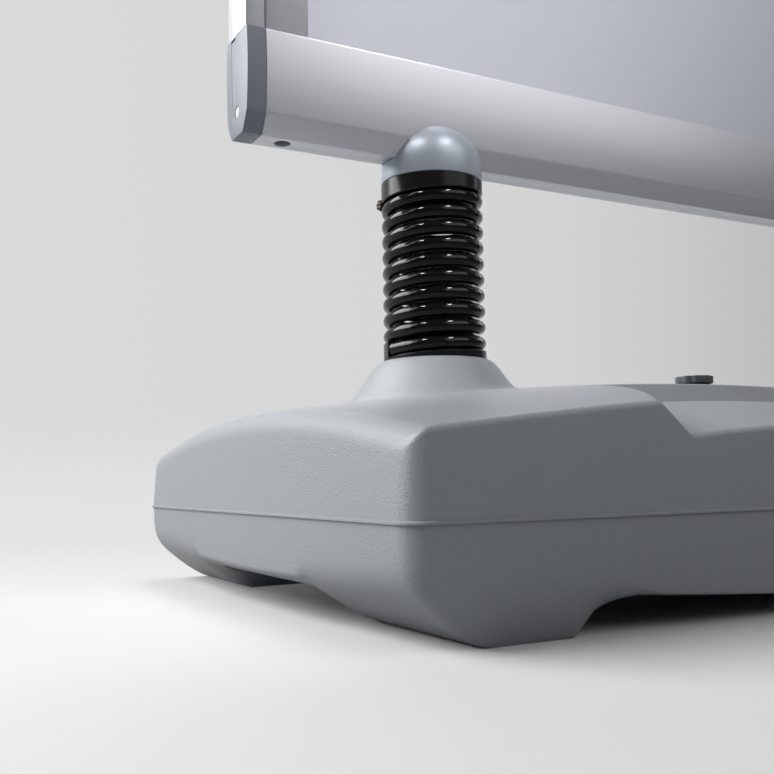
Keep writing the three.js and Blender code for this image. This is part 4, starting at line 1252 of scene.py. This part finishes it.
class SIGN_OT_stage(Operator):
    """Sets up the camera, the soft boxes and the sweep of pale floor and backdrop"""
    bl_idname = "sign.stage"
    bl_label = "Stage"

    def execute(self, context):
        settings = context.scene.sign_stage
        lens = bpy.data.cameras.new("photo_camera")
        lens.sensor_width = 36
        lens.lens = settings.focal_length
        lens.clip_start = 0.01
        camera = bpy.data.objects.new("photo_camera", lens)
        context.collection.objects.link(camera)
        camera.matrix_world = Matrix.Translation(settings.camera_place) @ camera_turn(settings).to_4x4()
        context.scene.camera = camera
        self.floor(settings)
        soft_box("key", (-1.8, 0.8, 1.45), (0, 0.02, 0.15), (2.0, 1.5), settings.key_power)
        soft_box("top", (0.15, 1.1, 2.0), (0, 0, 0.1), (0.9, 0.8), settings.top_power)
        soft_box("front", (0.9, -2.1, 1.9), (0.15, 0, 0.6), (2.8, 1.8), settings.front_power)
        soft_box("edge", (1.45, 0.25, 0.85), (0, -0.1, 0.1), (0.8, 0.5), settings.edge_power)
        for name, place in (("spark_left", (-0.96, -0.24, 1.58)), ("spark_right", (0.09, -0.74, 1.58))):
            soft_box(name, place, (-0.2, 0, 0.19), (0.24, 0.08), settings.spark_power, SPARK_SPREAD)
        self.backdrop(context)
        context.scene.view_settings.view_transform = "Standard"
        return {"FINISHED"}

    def floor(self, settings):
        """A pale floor that keeps the sign's shadow, darkens towards the back by painted shade and fades into
        the backdrop.
        """
        floor = added(bpy.ops.mesh.primitive_circle_add, "floor", vertices=96, radius=FLOOR_RADIUS,
                      fill_type="NGON", location=(0, 0, 0))
        with editing(floor):
            bpy.ops.mesh.inset(thickness=FLOOR_RING)
        material, shader = new_look("studio floor")
        place = shader.place()
        speckle = shader.noise(3)
        # Painted shade: the floor's colour darkens towards the back
        depth = shader.smooth_range(shader.along(place, (0, 1, 0)) + speckle * 0.04, *PAINTED_SHADE_SPAN,
                                    kind="SMOOTHERSTEP")
        shaded_far = tuple(value * SHADED_FAR_SHARE for value in settings.backdrop)
        paint = shader.mix(depth, settings.backdrop, shaded_far)
        seen = shader.node("ShaderNodeBsdfDiffuse", None, {"Color": paint})[0]
        bounce = shader.node("ShaderNodeBsdfDiffuse", None, {"Color": BOUNCE})[0]
        camera_ray = shader.node("ShaderNodeLightPath")[0]
        surface = shader.blend(camera_ray, bounce, seen)
        radius = shader.node("ShaderNodeVectorMath", {"operation": "DISTANCE"}, {0: place, 1: FADE_CENTRE})[1]
        fade = shader.smooth_range(radius, *FADE)
        clear = shader.node("ShaderNodeBsdfTransparent")[0]
        shader.node("ShaderNodeOutputMaterial", None, {"Surface": shader.blend(fade, surface, clear)})
        floor.data.materials.append(material)

    def backdrop(self, context):
        """A pale world that darkens a little to the right by painted shade, and lights the sign faintly."""
        world = bpy.data.worlds.new("studio")
        context.scene.world = world
        world.use_nodes = True
        shader = Shader(world.node_tree)
        heading = shader.node("ShaderNodeTexCoord")[0]
        side = shader.along(heading, BACKDROP_SIDE)
        # Painted shade: the backdrop darkens towards the right
        stops = [(at, (value, value, value, 1)) for at, value in BACKDROP_SHADE_STOPS]
        pale = shader.node("ShaderNodeValToRGB", {"stops": stops}, {"Fac": side * 0.5 + 0.5})[0]
        low = shader.smooth_range(shader.along(heading, (0, 0, 1)), 0.08, -0.03)
        pale = shader.mix(low * 0.5, pale, BACKDROP_LOW)
        seen = shader.node("ShaderNodeBackground", None, {"Color": pale, "Strength": 1.0})[0]
        glow = shader.node("ShaderNodeBackground", None, GLOW)[0]
        behind = shader.smooth_range(shader.along(heading, (0, 1, 0)), -0.1, 0.4)
        camera_ray, _, _, glossy_ray, _, _, transmission_ray, *_ = shader.node("ShaderNodeLightPath")
        direct = shader.largest(camera_ray, transmission_ray, glossy_ray * behind)
        shader.node("ShaderNodeOutputWorld", None, {"Surface": shader.blend(direct, glow, seen)})


class SIGN_PT_pieces(Panel):
    """The sign's pieces and settings"""
    bl_idname = "SIGN_PT_pieces"
    bl_label = "Pavement sign"
    bl_space_type = "VIEW_3D"
    bl_region_type = "UI"
    bl_category = "Pavement sign"

    def draw(self, context):
        for group in SETTINGS:
            settings = getattr(context.scene, group)
            box = self.layout.box()
            for name in settings.__annotations__:
                box.prop(settings, name)
        for operator in OPERATORS:
            self.layout.operator(operator.bl_idname)


SETTINGS = {
    "sign_tank": TankSettings,
    "sign_spring": SpringSettings,
    "sign_frame": FrameSettings,
    "sign_stage": StageSettings,
}
OPERATORS = (SIGN_OT_tank, SIGN_OT_filler_cap, SIGN_OT_springs, SIGN_OT_cups, SIGN_OT_rail, SIGN_OT_end_caps,
             SIGN_OT_frame, SIGN_OT_inner_pieces, SIGN_OT_stage)


def register():
    """Registers the settings, the operators and the panel."""
    for item in (*SETTINGS.values(), *OPERATORS, SIGN_PT_pieces):
        bpy.utils.register_class(item)
    for name, group in SETTINGS.items():
        setattr(bpy.types.Scene, name, PointerProperty(type=group))


def unregister():
    """Takes back what register adds."""
    for name in SETTINGS:
        delattr(bpy.types.Scene, name)
    for item in reversed((*SETTINGS.values(), *OPERATORS, SIGN_PT_pieces)):
        bpy.utils.unregister_class(item)


def main():
    """Builds the sign by its operators."""
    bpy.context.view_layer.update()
    register()
    bpy.ops.sign.tank()
    bpy.ops.sign.filler_cap()
    bpy.ops.sign.springs()
    bpy.ops.sign.cups()
    bpy.ops.sign.rail()
    bpy.ops.sign.end_caps()
    bpy.ops.sign.frame()
    bpy.ops.sign.inner_pieces()
    bpy.ops.sign.stage()


if __name__ == "__main__":
    main()
